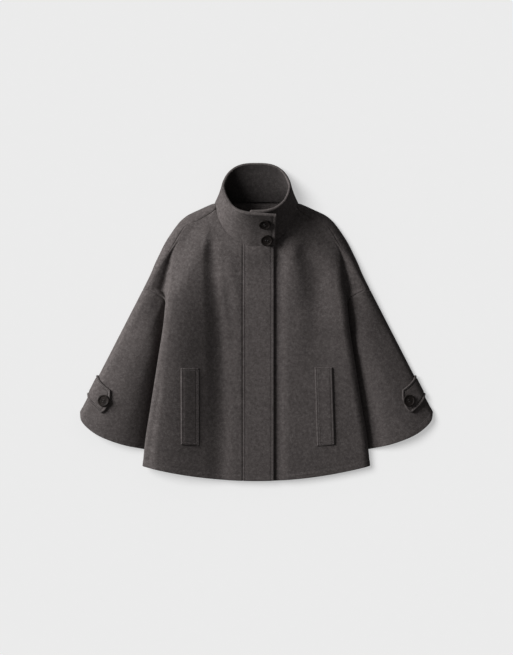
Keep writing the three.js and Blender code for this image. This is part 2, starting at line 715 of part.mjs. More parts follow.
// A closed wall: the outer surface, the inner one a thickness below it, and its edges.
// Every open edge is drawn in by half a seam gap.
function wall(surface, thickness, normalAt) {
  const { points, triangles } = surface;
  const normals = points.map(normalAt);
  const edges = openEdges(triangles);
  const draw = points.map(() => point(0, 0, 0));
  for (const [from, to] of edges) {
    const along = points[to].clone().sub(points[from]).normalize();
    const middle = normals[from].clone().add(normals[to]).normalize();
    const inward = middle.cross(along).normalize();
    draw[from].add(inward);
    draw[to].add(inward);
  }
  const outer = [];
  const inner = [];
  points.forEach((p, i) => {
    const pull = draw[i];
    const size = pull.length();
    const shift = point(0, 0, 0);
    if (size > SMALLEST_PULL) {
      shift.copy(pull).multiplyScalar(SEAM_GAP / (size * Math.max(0.5, size / 2)) / 2);
    }
    const edge = p.clone().add(shift);
    edge.z = Math.max(0, edge.z);
    outer.push(edge);
    inner.push(edge.clone().addScaledVector(normals[i], -thickness));
  });
  const count = points.length;
  const faces = [...triangles];
  for (const [a, b, c] of triangles) faces.push([a + count, c + count, b + count]);
  // Both pieces at a seam split its edge faces the same way
  const order = (i) => points[i].y * 1000 + Math.abs(points[i].x);
  for (const [from, to] of edges) {
    if (order(from) < order(to)) {
      faces.push([from, from + count, to + count], [from, to + count, to]);
    } else {
      faces.push([from, from + count, to], [to, from + count, to + count]);
    }
  }
  const flat = [...outer, ...inner].flatMap((p) => [p.x, p.y, p.z]);
  const geometry = new THREE.BufferGeometry();
  geometry.setAttribute("position", new THREE.Float32BufferAttribute(flat, 3));
  geometry.setIndex(faces.flat());
  geometry.computeVertexNormals();
  return geometry;
}

// A point of a faceted grid at fractional row and column
function onGrid(grid, row, column) {
  const r = Math.min(grid.length - 2, Math.floor(row));
  const c = Math.min(grid[0].length - 2, Math.floor(column));
  const up = row - r;
  const over = column - c;
  const a = grid[r][c];
  const b = grid[r][c + 1];
  const d = grid[r + 1][c];
  const e = grid[r + 1][c + 1];
  const out = a.clone();
  if (over > up) {
    out.addScaledVector(b.clone().sub(a), over).addScaledVector(e.clone().sub(b), up);
  } else {
    out.addScaledVector(d.clone().sub(a), up).addScaledVector(e.clone().sub(d), over);
  }
  return out;
}

function gridNormal(grid, row, column, flipped) {
  const step = 0.25;
  const over = onGrid(grid, row, Math.min(grid[0].length - 1, column + step)).sub(
    onGrid(grid, row, Math.max(0, column - step)),
  );
  const up = onGrid(grid, Math.min(grid.length - 1, row + step), column).sub(
    onGrid(grid, Math.max(0, row - step), column),
  );
  const normal = over.cross(up).normalize();
  return flipped ? normal.negate() : normal;
}

// Where a value lies in a rising or falling list, as a fractional index
function indexIn(list, value) {
  const rising = list[list.length - 1] > list[0];
  for (let i = 0; i + 1 < list.length; i++) {
    const inside = rising ? value <= list[i + 1] : value >= list[i + 1];
    if (inside) return i + clamp01((value - list[i]) / (list[i + 1] - list[i]));
  }
  return list.length - 1;
}

const meshes = new THREE.Group();

function addMesh(name, geometry, look) {
  const mesh = new THREE.Mesh(geometry, new THREE.MeshStandardMaterial(look));
  mesh.name = name;
  meshes.add(mesh);
}

// Fronts, back, sleeves and collar share their seam points and their normals
const rightFront = rightFrontGrid();
const leftFront = leftFrontGrid();
const sleeve = sleeveGrid();
const panels = {
  front_right: addGrid(emptySurface(), rightFront, true),
  front_left: addGrid(emptySurface(), leftFront, false),
  back_panel: addBackHalves(addBackHalves(emptySurface(), backLowerGrid()), backUpperGrid()),
  sleeve_left: addGrid(emptySurface(), sleeve, false),
  sleeve_right: addGrid(emptySurface(), mirroredGrid(sleeve), true),
};

function collarGrid() {
  const turns = collarTurns();
  return COLLAR_STEPS.map((rise) => turns.map((turn) => collarPoint(turn, rise)));
}
const collar = addGrid(emptySurface(), collarGrid(), false);
const sewnNormal = sharedNormals([...Object.values(panels), collar]);
for (const [name, surface] of Object.entries(panels)) {
  addMesh(name, wall(surface, BODY_CLOTH, sewnNormal), name === "back_panel" ? WOOL_DARK : WOOL);
}
addMesh("collar", wall(collar, COLLAR_CLOTH, sewnNormal), WOOL);

// Placket: the fly strip from its seam beside the right front to its free edge
function placketGrid() {
  const [seam, middle, edge] = [PLACKET_SEAM_X, PLACKET_MIDDLE_X, PLACKET_EDGE_X];
  const columns = [seam, -middle, 0, middle, -seam, edge];
  const rows = [...SIDE_ROWS, ...ARMHOLE_ROWS, ...SHOULDER_ROWS.slice(0, -1), null];
  return rows.map((row) =>
    columns.map((x) => {
      const y = row === null ? placketTopY(x) : row;
      return withHemCurve(point(x, y, frontHeight(x, y) + PLACKET_PROUD));
    }),
  );
}
const placket = addGrid(emptySurface(), placketGrid(), false);
addMesh("front_placket", wall(placket, PLACKET_CLOTH, sharedNormals([placket])), WOOL);

// Fractional row and column of a place on a front's outer facets, before the hem's curve
function onFront(grid, x, y) {
  const row = indexIn(FRONT_ROWS, y);
  const near = grid[Math.min(grid.length - 1, Math.floor(row))];
  const far = grid[Math.min(grid.length - 1, Math.floor(row) + 1)];
  const share = row - Math.floor(row);
  const columnX = near.slice(0, FRONT_COLUMNS + 1).map((p, i) => mix(p.x, far[i].x, share));
  return [row, indexIn(columnX, x)];
}

// A grid of points lifted off a panel, with the direction of each lift
function laidSurface(rows, thickness, flipped) {
  const directions = new Map();
  const grid = rows.map((row) =>
    row.map(({ seat, normal }) => {
      const lifted = seat.clone().addScaledVector(normal, thickness + LAY_GAP);
      directions.set(spotKey(lifted), normal);
      return lifted;
    }),
  );
  const surface = addGrid(emptySurface(), grid, flipped);
  return wall(surface, thickness, (p) => directions.get(spotKey(p)));
}

const WELT_COLUMNS = 4;
const WELT_ROWS = 12;

function weltGeometry({ side, topX, lowX, high, low }) {
  const left = side > 0;
  const grid = left ? leftFront : rightFront;
  const rows = [];
  for (let r = 0; r <= WELT_ROWS; r++) {
    const up = r / WELT_ROWS;
    const row = [];
    for (let c = 0; c <= WELT_COLUMNS; c++) {
      const x = side * (mix(lowX, topX, up) + (WELT_WIDTH * c) / WELT_COLUMNS);
      const [gridRow, column] = onFront(grid, x, mix(low, high, up));
      const normal = gridNormal(grid, gridRow, column, !left);
      row.push({ seat: onGrid(grid, gridRow, column), normal });
    }
    rows.push(row);
  }
  return laidSurface(rows, WELT_CLOTH, !left);
}
for (const welt of WELTS) addMesh(welt.name, weltGeometry(welt), WOOL);

// Outer surface of the left sleeve at a share across from the outer fold and along to the cuff
function sleeveSeat(across, along) {
  const row = indexIn(SLEEVE_RINGS, along);
  const column = indexIn(shares(armholeRing().upper), across);
  return { seat: onGrid(sleeve, row, column), normal: gridNormal(sleeve, row, column, false) };
}

// The tab starts under the outer fold, and its columns follow the sleeve's own up to its tip
function tabGrid() {
  const sharedColumns = shares(armholeRing().upper).filter((share) => share < TAB_SHORTEST_REACH);
  return TAB.map(({ along }) => {
    const reach = tabReach(along);
    const lastShared = sharedColumns[sharedColumns.length - 1];
    const columns = [...sharedColumns, mix(lastShared, reach, 0.5), reach];
    const over = columns.map((across) => sleeveSeat(across, along));
    const tucked = { seat: over[0].seat.clone().add(TAB_TUCK), normal: over[0].normal };
    return [tucked, ...over];
  });
}

const tabRows = tabGrid();
const tabRowsRight = tabRows.map((row) =>
  row.map(({ seat, normal }) => ({ seat: mirrored(seat), normal: mirrored(normal) })),
);
addMesh("sleeve_tab_left", laidSurface(tabRows, TAB_CLOTH, false), WOOL);
addMesh("sleeve_tab_right", laidSurface(tabRowsRight, TAB_CLOTH, true), WOOL);

// Button: a disc with a raised rim and a dished middle, turned about its own axis
function buttonGeometry() {
  const rimWidth = 3;
  const dish = 1.4;
  const round = 1.2;
  const profile = [
    [0, 0],
    [BUTTON_RADIUS - round, 0],
    [BUTTON_RADIUS, round],
    [BUTTON_RADIUS, BUTTON_HEIGHT - round],
    [BUTTON_RADIUS - round, BUTTON_HEIGHT],
    [BUTTON_RADIUS - rimWidth, BUTTON_HEIGHT],
    [BUTTON_RADIUS - rimWidth - 1, BUTTON_HEIGHT - dish],
    [0, BUTTON_HEIGHT - dish],
  ];
  const sides = 24;
  const turned = new THREE.LatheGeometry(
    profile.map(([radius, height]) => new THREE.Vector2(radius, height)),
    sides,
  );
  return turned.rotateX(Math.PI / 2);
}

function addButton(name, seat, normal, shank) {
  addMesh(name, buttonGeometry(), HORN);
  const mesh = meshes.children[meshes.children.length - 1];
  mesh.quaternion.setFromUnitVectors(point(0, 0, 1), normal);
  mesh.position.copy(seat).addScaledVector(normal, shank);
}

// The share of the collar's height where its overlap reaches a given height up the page
function collarRiseAt(turn, y) {
  let rise = 0;
  while (rise < 1 && collarPoint(turn, rise).y < y) rise += 0.005;
  return rise;
}
COLLAR_BUTTONS.forEach(({ x, y }, i) => {
  const turn = 360 + turnOfX(x);
  const rise = collarRiseAt(turn, y);
  const normal = collarNormal(turn, rise);
  addButton("collar_button_" + (i + 1), collarPoint(turn, rise), normal, COLLAR_BUTTON_SHANK);
});

const tabSeat = sleeveSeat(TAB_BUTTON.across, TAB_BUTTON.along);
const tabTop = tabSeat.seat.clone().addScaledVector(tabSeat.normal, TAB_CLOTH + LAY_GAP);
const tabUp = tabSeat.normal;
addButton("sleeve_button_left", tabTop, tabUp, TAB_BUTTON_SHANK);
addButton("sleeve_button_right", mirrored(tabTop), mirrored(tabUp), TAB_BUTTON_SHANK);

export default meshes;
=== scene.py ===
"""Looks of a wool cape coat that lies flat on its back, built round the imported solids.

Lengths are millimetres until a mesh is made, and the axes are the model's: +X to the right of the
picture, +Y toward the collar, +Z up from the floor. The tables repeat the garment's own cut.
"""

import math

import bpy
import numpy as np
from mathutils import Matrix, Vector


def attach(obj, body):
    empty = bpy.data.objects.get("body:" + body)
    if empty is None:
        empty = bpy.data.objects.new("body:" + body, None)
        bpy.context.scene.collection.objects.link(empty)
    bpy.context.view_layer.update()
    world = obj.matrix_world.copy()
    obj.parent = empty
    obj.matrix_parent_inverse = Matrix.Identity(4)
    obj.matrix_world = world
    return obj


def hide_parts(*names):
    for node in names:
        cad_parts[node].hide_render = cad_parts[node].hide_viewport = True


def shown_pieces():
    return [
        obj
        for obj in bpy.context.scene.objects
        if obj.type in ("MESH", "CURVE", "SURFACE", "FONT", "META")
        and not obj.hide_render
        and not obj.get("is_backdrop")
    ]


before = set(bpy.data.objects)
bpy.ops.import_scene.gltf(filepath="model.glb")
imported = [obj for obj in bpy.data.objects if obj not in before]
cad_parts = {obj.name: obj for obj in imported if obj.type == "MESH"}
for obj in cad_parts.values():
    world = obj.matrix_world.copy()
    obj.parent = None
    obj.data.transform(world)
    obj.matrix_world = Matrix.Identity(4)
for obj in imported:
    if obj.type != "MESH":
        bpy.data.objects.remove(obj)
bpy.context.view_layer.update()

MM = 0.001

# The cut's driving dimensions
BODY_CLOTH = 2.5
PLACKET_CLOTH = 4.5
COLLAR_CLOTH = 8
WELT_CLOTH = 3
TAB_CLOTH = 4
SEAM_GAP = 0.1
LAY_GAP = 0.4
PLACKET_PROUD = 1
UNDER_PLACKET = 4.4
HEM_Y = -381
HEM_HALF_WIDTH = 272
HEM_RISE = 36
HEM_CURVE_TOP = -100
BACK_HEM_INSET = 3
UNDERARM_Y = -10
ARMHOLE_TOP_Y = 77
PLACKET_SEAM_X = -32.5
PLACKET_EDGE_X = 42
PLACKET_MIDDLE_X = 19
LEFT_FRONT_EDGE_X = -15
LEFT_FRONT_CORNER_X = 5
NECK_CENTRE_Y = 283
NECK_HALF_WIDTH = 97
NECK_DEPTH = 103
NECK_SIDE_Z = 24
NECK_FRONT_RISE = 27

# y, where the side fold lies, height of the front over the floor
BODY = [
    (-381, 272, 25), (-300, 265, 29), (-200, 251, 33.5), (-100, 236, 37.5), (-10, 222, 41),
    (55, 215, 43), (85, 209, 43), (120, 206, 42.5), (150, 203, 42.5), (180, 194, 43.5),
    (211, 178, 43), (230, 165, 40), (250, 140, 36), (268, 105, 30),
]
# y, outer fold and its height, shoulder seam and its height
SHOULDER = [
    (30, 296, 12, 283, 25), (77, 272, 12, 259, 26), (95, 263, 11, 250, 27),
    (118, 252, 10, 240, 28), (140, 243, 10, 228, 28.5), (165, 231, 10, 211.5, 29),
    (189, 219, 10, 196, 29), (211, 205, 10, 183, 29), (230, 191.5, 10, 168, 29),
    (242, 181, 10, 141, 29), (256, 163, 10, 115, 29), (268, 138, 10, 99.6, 29.5),
    (276, 121, 10, 97, 28),
]
# y, x and height of the armhole seam, on the front and on the back
FRONT_ARMHOLE = [
    (-10, 214, 7), (-2, 213, 9.5), (10, 213.5, 11.5), (30, 216, 14), (45, 218.5, 17),
    (55, 222, 20.5), (63, 233, 24), (70, 245, 27), (75, 255, 27), (77, 259, 26),
]
BACK_ARMHOLE = [
    (-10, 214, 7), (-2, 212, 3.5), (10, 211, 1), (30, 213, 0), (45, 217, 0),
    (55, 223, 0), (63, 232, 0), (70, 244, 0), (75, 255, 0), (77, 261, 0),
]
# Soft folds of the fronts: y, x and rise of the crest, its reach toward the middle and the side
FOLDS = [
    [  # the right side's large fold
        (-381, -240, 22, 172, 50), (-300, -234, 27, 174, 52), (-200, -224, 33, 168, 54),
        (-90, -214, 35, 160, 52), (0, -204, 33, 154, 50), (70, -194, 23, 136, 52),
        (130, -180, 8, 104, 56), (190, -160, 2, 74, 44), (226, -148, 1, 60, 40),
        (262, -136, 0, 60, 40),
    ],
    [  # the right front's trough
        (-381, -84, -3, 30, 44), (-200, -84, -5, 30, 42), (-100, -86, -5, 28, 40),
        (0, -92, -5, 26, 36), (60, -100, -5, 24, 30), (120, -105, -5.5, 26, 26),
        (180, -106, -5.5, 24, 22), (215, -103, -3, 20, 16), (244, -100, 0, 16, 16),
    ],
    [  # a low ridge beside it
        (-300, -40, 0, 20, 24), (-150, -42, 1.2, 20, 24), (40, -46, 1.6, 20, 26),
        (130, -60, 2, 22, 26), (190, -66, 0, 22, 22),
    ],
    [  # the left front's low ridge
        (20, 84, 0, 30, 36), (100, 88, 2.5, 30, 36), (180, 84, 4, 30, 30), (246, 92, 0, 30, 30),
    ],
    [  # the left front's trough
        (-160, 150, 0, 60, 70), (-60, 150, -3, 56, 70), (52, 147, -6, 50, 60),
        (124, 141, -7, 48, 56), (172, 129, -6.5, 44, 52), (232, 118, 0, 36, 40),
    ],
    [  # the left side's flat fold
        (-381, 224, -1, 160, 60), (-250, 218, -1, 155, 60), (-100, 208, -1, 150, 60),
        (-40, 201, -1, 145, 56), (0, 198, 1, 140, 56), (60, 190, -3, 130, 50),
        (150, 168, -2, 90, 50), (200, 160, 0, 90, 50),
    ],
]
# Share across the upper layer from the outer fold, height at mid sleeve and at the cuff
SLEEVE_TOP = [
    (0, 12, 10), (0.05, 25, 23), (0.107, 32.5, 30.5), (0.235, 37, 36), (0.342, 39, 38.5),
    (0.46, 39, 38.5), (0.67, 34, 34), (0.836, 23, 24), (0.95, 10.5, 12), (1, 6.5, 7),
]
# The wearer's left sleeve lies a little flatter
LEFT_SLEEVE_TOP = [
    (0, 11, 10), (0.05, 17, 16), (0.107, 20.5, 19.5), (0.235, 25, 24), (0.342, 27.5, 26.5),
    (0.46, 28.5, 28), (0.67, 25, 25), (0.836, 15.5, 15.5), (0.95, 8, 8.5), (1, 6, 6.5),
]
# Share across, x and y of the cuff line
CUFF = [
    (0, 423, -217), (0.1, 419, -236), (0.23, 402, -255), (0.41, 373, -274),
    (0.68, 323, -293), (0.94, 272, -304.5), (1, 262, -306),
]
# The collar's ends in degrees, the second one past a full turn, and how they pass each other
COLLAR_START, COLLAR_END = -9, 28
UNDERLAP_DROP, OVERLAP_RISE = 5.6, 2.2
# Degrees round from the front middle, then the collar's top edge
COLLAR_TOP = [
    (-9, -16, 259, 100), (11.4, 17, 260, 100), (21, 31, 262.5, 99), (32, 46, 267.4, 96),
    (52, 66, 283, 88), (68, 75, 297, 79), (90, 81, 315, 67), (104, 82, 328, 55),
    (120, 78, 342, 40), (134, 71, 356, 26), (146, 59, 368, 14), (158, 40, 377, 6),
    (169, 20, 380.5, 2), (180, 0, 381, 1), (191, -20, 380.5, 2), (202, -40, 377, 6),
    (214, -59, 368, 14), (226, -71, 356, 26), (240, -78, 342, 40), (256, -82, 328, 55),
    (270, -81, 315, 67), (290, -73, 294, 81), (308, -60, 274, 93), (326, -43, 261, 103),
    (343, -22, 255, 108), (360, 0, 252.5, 110), (374, 25, 250.5, 110), (388, 48, 249, 109),
]
# Degrees round, then the neck seam behind the shoulder line
NECK_BACK = [
    (90, 97, 283, 24), (97, 99, 284, 17), (104, 100, 285, 9), (112, 95, 286, 3),
    (122, 86, 287, 0), (132, 74, 287, 0), (143, 60, 287, 0), (153, 45, 287, 0),
    (162, 30, 287, 0), (171, 15, 287, 0), (180, 0, 287, 0),
]
# Side, inner edge at the top and at the bottom, heights of the two ends
WELTS = [
    ("pocket_welt_right", -1, 137, 137, -110, -302),
    ("pocket_welt_left", 1, 138, 144, -108, -304),
]
WELT_WIDTH = 43.5
# Share along the sleeve, reach of the tab across it
TAB = [
    (0.7, 0.285), (0.722, 0.308), (0.75, 0.332), (0.783, 0.342), (0.815, 0.342),
    (0.84, 0.33), (0.862, 0.3),
]
TAB_BUTTON = (0.262, 0.785)
COLLAR_BUTTONS = [(19, 231), (24, 194)]

# ---------------------------------------------------------------- arithmetic
def mix(a, b, share):
    return a + (b - a) * share


def ease(low, high, value):
    share = np.clip((np.asarray(value, float) - low) / (high - low), 0, 1)
    return share * share * (3 - 2 * share)


def curve(keys, values):
    """A table's column as a smooth function of its key column"""
    keys, values = np.array(keys, float), np.array(values, float)
    spot = np.arange(len(keys))
    before, after = np.maximum(spot - 1, 0), np.minimum(spot + 1, len(keys) - 1)
    slopes = (values[after] - values[before]) / (keys[after] - keys[before])

    def at(value):
        value = np.clip(np.asarray(value, float), keys[0], keys[-1])
        i = np.clip(np.searchsorted(keys, value, side="right") - 1, 0, len(keys) - 2)
        span = keys[i + 1] - keys[i]
        t = (value - keys[i]) / span
        bend = 2 * t**3 - 3 * t**2
        return (
            (bend + 1) * values[i]
            - bend * values[i + 1]
            + (t**3 - 2 * t**2 + t) * span * slopes[i]
            + (t**3 - t**2) * span * slopes[i + 1]
        )

    return at


def curves(rows):
    """Each column after the first as a function of the first"""
    columns = list(zip(*rows))
    return [curve(columns[0], column) for column in columns[1:]]


def fill(knots, step):
    """The knots with even steps added between them, none longer than step"""
    out = [knots[0]]
    for a, b in zip(knots, knots[1:]):
        n = max(1, math.ceil(abs(b - a) / step - 1e-9))
        out += [a + (b - a) * i / n for i in range(1, n + 1)]
    return np.array(out, float)


def spline(points, counts):
    """Smooth line through points on the last axis but one, counts[i] steps in span i"""
    p = np.asarray(points, float)
    first, last = 2 * p[..., :1, :] - p[..., 1:2, :], 2 * p[..., -1:, :] - p[..., -2:-1, :]
    p = np.concatenate([first, p, last], -2)
    parts = []
    for i, n in enumerate(counts):
        a, b, c, d = (p[..., i + k, :][..., None, :] for k in range(4))
        t = (np.arange(n) / n)[:, None]
        parts.append(
            0.5 * (2 * b + (c - a) * t + (2 * a - 5 * b + 4 * c - d) * t**2
                   + (3 * b - a - 3 * c + d) * t**3)
        )
    parts.append(p[..., len(counts) + 1, :][..., None, :])
    return np.concatenate(parts, -2)


def unit(v):
    return v / np.maximum(np.linalg.norm(v, axis=-1, keepdims=True), 1e-12)


def stack(*parts):
    return np.stack(np.broadcast_arrays(*parts), -1).astype(float)


def grid_normals(grid):
    """Unit normals of a grid, along (next column) x (next row)"""
    over = np.gradient(grid, axis=1)
    up = np.gradient(grid, axis=0)
    return unit(np.cross(over, up))


# ---------------------------------------------------------------- the cut
ridge_x, base_z = curves(BODY)
fold_x, fold_z, seam_x, seam_z = curves(SHOULDER)
front_hole_x, front_hole_z = curves(FRONT_ARMHOLE)
back_hole_x, back_hole_z = curves(BACK_ARMHOLE)
cuff_x, cuff_y = curves(CUFF)
collar_x, collar_y, collar_z = curves(COLLAR_TOP)
tab_reach = curves(TAB)[0]
folds = [curves(rows) for rows in FOLDS]


def neck_x(y):
    return NECK_HALF_WIDTH * np.sqrt(np.maximum(0, 1 - ((NECK_CENTRE_Y - y) / NECK_DEPTH) ** 2))


def neck_y(x):
    return NECK_CENTRE_Y - NECK_DEPTH * np.sqrt(1 - (x / NECK_HALF_WIDTH) ** 2)


def neck_z(cosine):
    return NECK_SIDE_Z + NECK_FRONT_RISE * np.maximum(0, cosine) ** 0.8


NECK_START_Y = float(neck_y(PLACKET_SEAM_X))
SIDE_ROWS = [HEM_Y, -340, -290, -240, -190, -140, -95, -60, -32]
ARMHOLE_ROWS = [UNDERARM_Y, -2, 10, 30, 45, 55, 63, 70, 75, ARMHOLE_TOP_Y]
SHOULDER_ROWS = [95, 118, 140, 160, 174]
NECK_FRONT_Y = NECK_CENTRE_Y - NECK_DEPTH
NECK_ROWS = [NECK_START_Y, 190, 196, 204, 214, 225, 237, 248, 258, 268]
NECK_CORNER_Y = 276
STEP = 3.2
HEM_LINE = 14  # the hem's stitching lies this far above its edge
hem_rows = [HEM_Y, HEM_Y + 2.2, HEM_Y + 4, HEM_Y + 8, HEM_Y + HEM_LINE - 1.5, HEM_Y + HEM_LINE,
            HEM_Y + HEM_LINE + 1.5]
side_rows = fill([*hem_rows, *SIDE_ROWS[1:]], STEP)
armhole_rows = fill(ARMHOLE_ROWS, 2.4)
shoulder_rows = fill([ARMHOLE_TOP_Y, *SHOULDER_ROWS, NECK_ROWS[0]], STEP)[1:-1]
neck_rows = fill(NECK_ROWS, STEP)
below_arm = np.concatenate([side_rows, fill([SIDE_ROWS[-1], UNDERARM_Y], STEP)[1:-1]])
front_rows = np.concatenate([below_arm, armhole_rows, shoulder_rows, neck_rows])


def front_height(x, y):
    """Height of the front over the floor, before its side fold"""
    z = base_z(y)
    for at_x, rise, to_middle, to_side in folds:
        centre = at_x(y)
        off = x - centre
        reach = np.where(np.sign(off) == np.sign(centre), to_side(y), to_middle(y))
        z = z + np.where(np.abs(off) < reach, rise(y) * np.cos(np.pi * off / (2 * reach)) ** 2, 0)
    pull = 1 - ease(0, 90, seam_x(y) - np.abs(x))
    z = mix(z, seam_z(y), pull * ease(40, 140, y))
    turn_x, turn_y = x / NECK_HALF_WIDTH, np.maximum(0, NECK_CENTRE_Y - y) / NECK_DEPTH
    size = np.hypot(turn_x, turn_y)
    from_neck = (size - 1) * NECK_HALF_WIDTH
    return mix(neck_z(turn_y / size), z, ease(0, 60, from_neck))


def with_hem_curve(p):
    share = np.maximum(0, (HEM_CURVE_TOP - p[..., 1]) / (HEM_CURVE_TOP - HEM_Y))
    p = p.copy()
    p[..., 1] += HEM_RISE * share**1.5 * (p[..., 0] / HEM_HALF_WIDTH) ** 2
    return p


def side_seam(y):
    low = ease(UNDERARM_Y, -70, y)
    return ridge_x(y) - mix(8, 20, low), mix(7, 6, low)


def front_seam(y):
    """x and height of the line where a front meets the back or the sleeve"""
    sx, sz = side_seam(y)
    x = np.where(y <= UNDERARM_Y, sx, np.where(y <= ARMHOLE_TOP_Y, front_hole_x(y), seam_x(y)))
    z = np.where(y <= UNDERARM_Y, sz, np.where(y <= ARMHOLE_TOP_Y, front_hole_z(y), seam_z(y)))
    return x, z


def placket_dip(x, side):
    """How far the left front sinks under the placket"""
    return UNDER_PLACKET * (1 - ease(44, 78, x)) if side > 0 else 0


CREST_INSET = 16
INNER_SHARES = np.concatenate([
    np.array([0, 0.8, 1.9, 3.3]) / 220, fill([5 / 220, 1], STEP / 220),
])


def front_grid(side):
    y = front_rows
    if side < 0:
        inner = np.where(y <= NECK_START_Y, PLACKET_SEAM_X, -neck_x(y))
    else:
        cut_away = (LEFT_FRONT_CORNER_X - LEFT_FRONT_EDGE_X) * ease(160, 174, y)
        inner = np.where(y < NECK_START_Y, LEFT_FRONT_EDGE_X + cut_away, neck_x(y))
    end_x, end_z = front_seam(y)
    ridge = np.where(y > ARMHOLE_TOP_Y, np.minimum(ridge_x(y), end_x - 7), ridge_x(y))
    crest = np.maximum(ridge - CREST_INSET, mix(np.maximum(0, side * inner), end_x, 0.55))

    def height(x):
        return front_height(x, y[:, None]) - placket_dip(x, side)

    x = mix(inner[:, None], side * crest[:, None], INNER_SHARES[None])
    flat = stack(x, y[:, None], height(x))
    crest_z = flat[:, -1, 2]
    before = mix(inner[:, None], side * crest[:, None], np.array([[12 / 13]]))
    before_z = height(before)[:, 0]
    low = [
        (ridge - 4, crest_z - 4.5),
        (ridge, crest_z - 13),
        (mix(ridge, end_x, 0.15), mix(crest_z - 13, end_z, 0.4)),
        (mix(ridge, end_x, 0.5), mix(crest_z - 13, end_z, 0.7)),
    ]
    valley = mix(18, 22, ease(60, 180, y))
    high = [
        (ridge - 4, np.maximum(crest_z - 4.5, valley + 5)),
        (ridge, np.maximum(crest_z - 13, valley + 3)),
        (mix(ridge, end_x, 0.25), valley),
        (mix(ridge, end_x, 0.6), mix(valley, end_z, 0.6)),
    ]
    rising, fading = ease(35, 70, y), ease(135, 205, y)
    spots = [0.3, 0.5, 0.68, 0.84]
    bend = [stack(before[:, 0], y, before_z), stack(side * crest, y, crest_z)]
    for (lx, lz), (hx, hz), spot in zip(low, high, spots):
        rolled_x, rolled_z = mix(lx, hx, rising), mix(lz, hz, rising)
        plain_x, plain_z = mix(crest, end_x, spot), mix(crest_z, end_z, spot)
        bend.append(stack(side * mix(rolled_x, plain_x, fading), y, mix(rolled_z, plain_z, fading)))
    bend.append(stack(side * end_x, y, end_z))
    rolled = spline(np.stack(bend, 1), [1, 5, 5, 4, 4, 5])[:, 1:]
    return with_hem_curve(np.concatenate([flat[:, :-1], rolled], 1))


BACK_SHARES = [0.75, 0.5, 0.25, 0]


def back_floor_half(y, edge):
    """Control points of the back on the floor, from the seam to the middle"""
    first = edge[-1]
    on_floor = first[..., 2] < 0.01
    near = np.where(on_floor, 8, 7)
    start = first[..., 0] - 17
    half = [
        *edge,
        stack(first[..., 0] - near, y, np.where(on_floor, 0, first[..., 2] * 0.36)),
        stack(start, y, 0.0),
    ]
    half += [stack(start * share, y, 0.0) for share in BACK_SHARES]
    return np.stack(half, -2)


def back_lower_grid():
    y = np.concatenate([below_arm, armhole_rows])
    sx, sz = side_seam(y)
    x = np.where(y <= UNDERARM_Y, sx, back_hole_x(y))
    z = np.where(y <= UNDERARM_Y, sz, back_hole_z(y))
    grid = spline(back_floor_half(y, [stack(x, y, z)]), [4, 4, 8, 8, 8, 8])
    grid = with_hem_curve(grid)
    low = 1 - ease(HEM_Y, HEM_Y + 30, y)
    grid[..., 1] += BACK_HEM_INSET * low[:, None]
    grid[:, 0] = with_hem_curve(stack(x, y, z))
    grid[0, 0, 1] += BACK_HEM_INSET
    grid[..., 2] = np.maximum(grid[..., 2], 0)
    return grid


UPPER_COUNTS = [6, 6, 3, 3, 3, 3, 8, 8, 8, 8]


def shoulder_wrap(y):
    above = y > NECK_ROWS[-1]
    corner_x = np.where(above, neck_x(y), seam_x(y))
    corner_z = np.where(above, neck_z((NECK_CENTRE_Y - y) / NECK_DEPTH), seam_z(y))
    return [
        stack(corner_x, y, corner_z),
        stack(mix(corner_x, fold_x(y), 0.62), y, mix(corner_z, fold_z(y), 0.36)),
        stack(fold_x(y), y, fold_z(y)),
        stack(fold_x(y) - 3, y, 3.4),
    ]


def back_upper_grid():
    y = np.concatenate([[ARMHOLE_TOP_Y], shoulder_rows, neck_rows, [272, NECK_CORNER_Y]])
    control = np.concatenate([
        np.stack(shoulder_wrap(y), -2),
        back_floor_half(y, [stack(fold_x(y) - 11, y, 0.0)]),
    ], -2)
    last = np.array([row[1:] for row in NECK_BACK], float)[None]
    grid = spline(control, UPPER_COUNTS)
    end = spline(last, UPPER_COUNTS)
    between = [mix(grid[-1:], end, share) for share in (1 / 3, 2 / 3)]
    corner_turn = float(turn_of_row(NECK_CORNER_Y))
    for share, row in zip((1 / 3, 2 / 3), between):
        row[0, 0] = neck_point(np.array([mix(corner_turn, 90, share)]))[0]
    grid = np.concatenate([grid, *between, end])
    grid[..., 2] = np.maximum(grid[..., 2], 0)
    return grid


def turn_of_row(y):
    return np.degrees(np.arccos((NECK_CENTRE_Y - y) / NECK_DEPTH))


def turn_of_x(x):
    return np.degrees(np.arcsin(x / NECK_HALF_WIDTH))


back_line = spline(np.array(NECK_BACK, float)[None], UPPER_COUNTS)[0]  # turn, x, y, z


def placket_top_y(x):
    past = NECK_FRONT_Y + 2 * (x / PLACKET_EDGE_X) ** 2
    return np.where(x <= 0, neck_y(np.minimum(x, 0)), past)


def neck_point(turn):
    """The neck seam at turns from the front middle, with the placket's straighter edge past 360"""
    around = np.mod(turn, 360)
    angle = np.where(around > 180, 360 - around, around)
    side = np.where(around > 180, -1, 1)
    cosine = np.cos(np.radians(np.minimum(angle, 90)))
    x = side * NECK_HALF_WIDTH * np.sin(np.radians(np.minimum(angle, 90)))
    y = np.where(turn > 360, placket_top_y(x), NECK_CENTRE_Y - NECK_DEPTH * cosine)
    front = stack(x, y, neck_z(cosine))
    back = stack(*(np.interp(angle, back_line[:, 0], back_line[:, i]) for i in (1, 2, 3)))
    back[..., 0] *= side
    return np.where((angle > 90)[..., None], back, front)


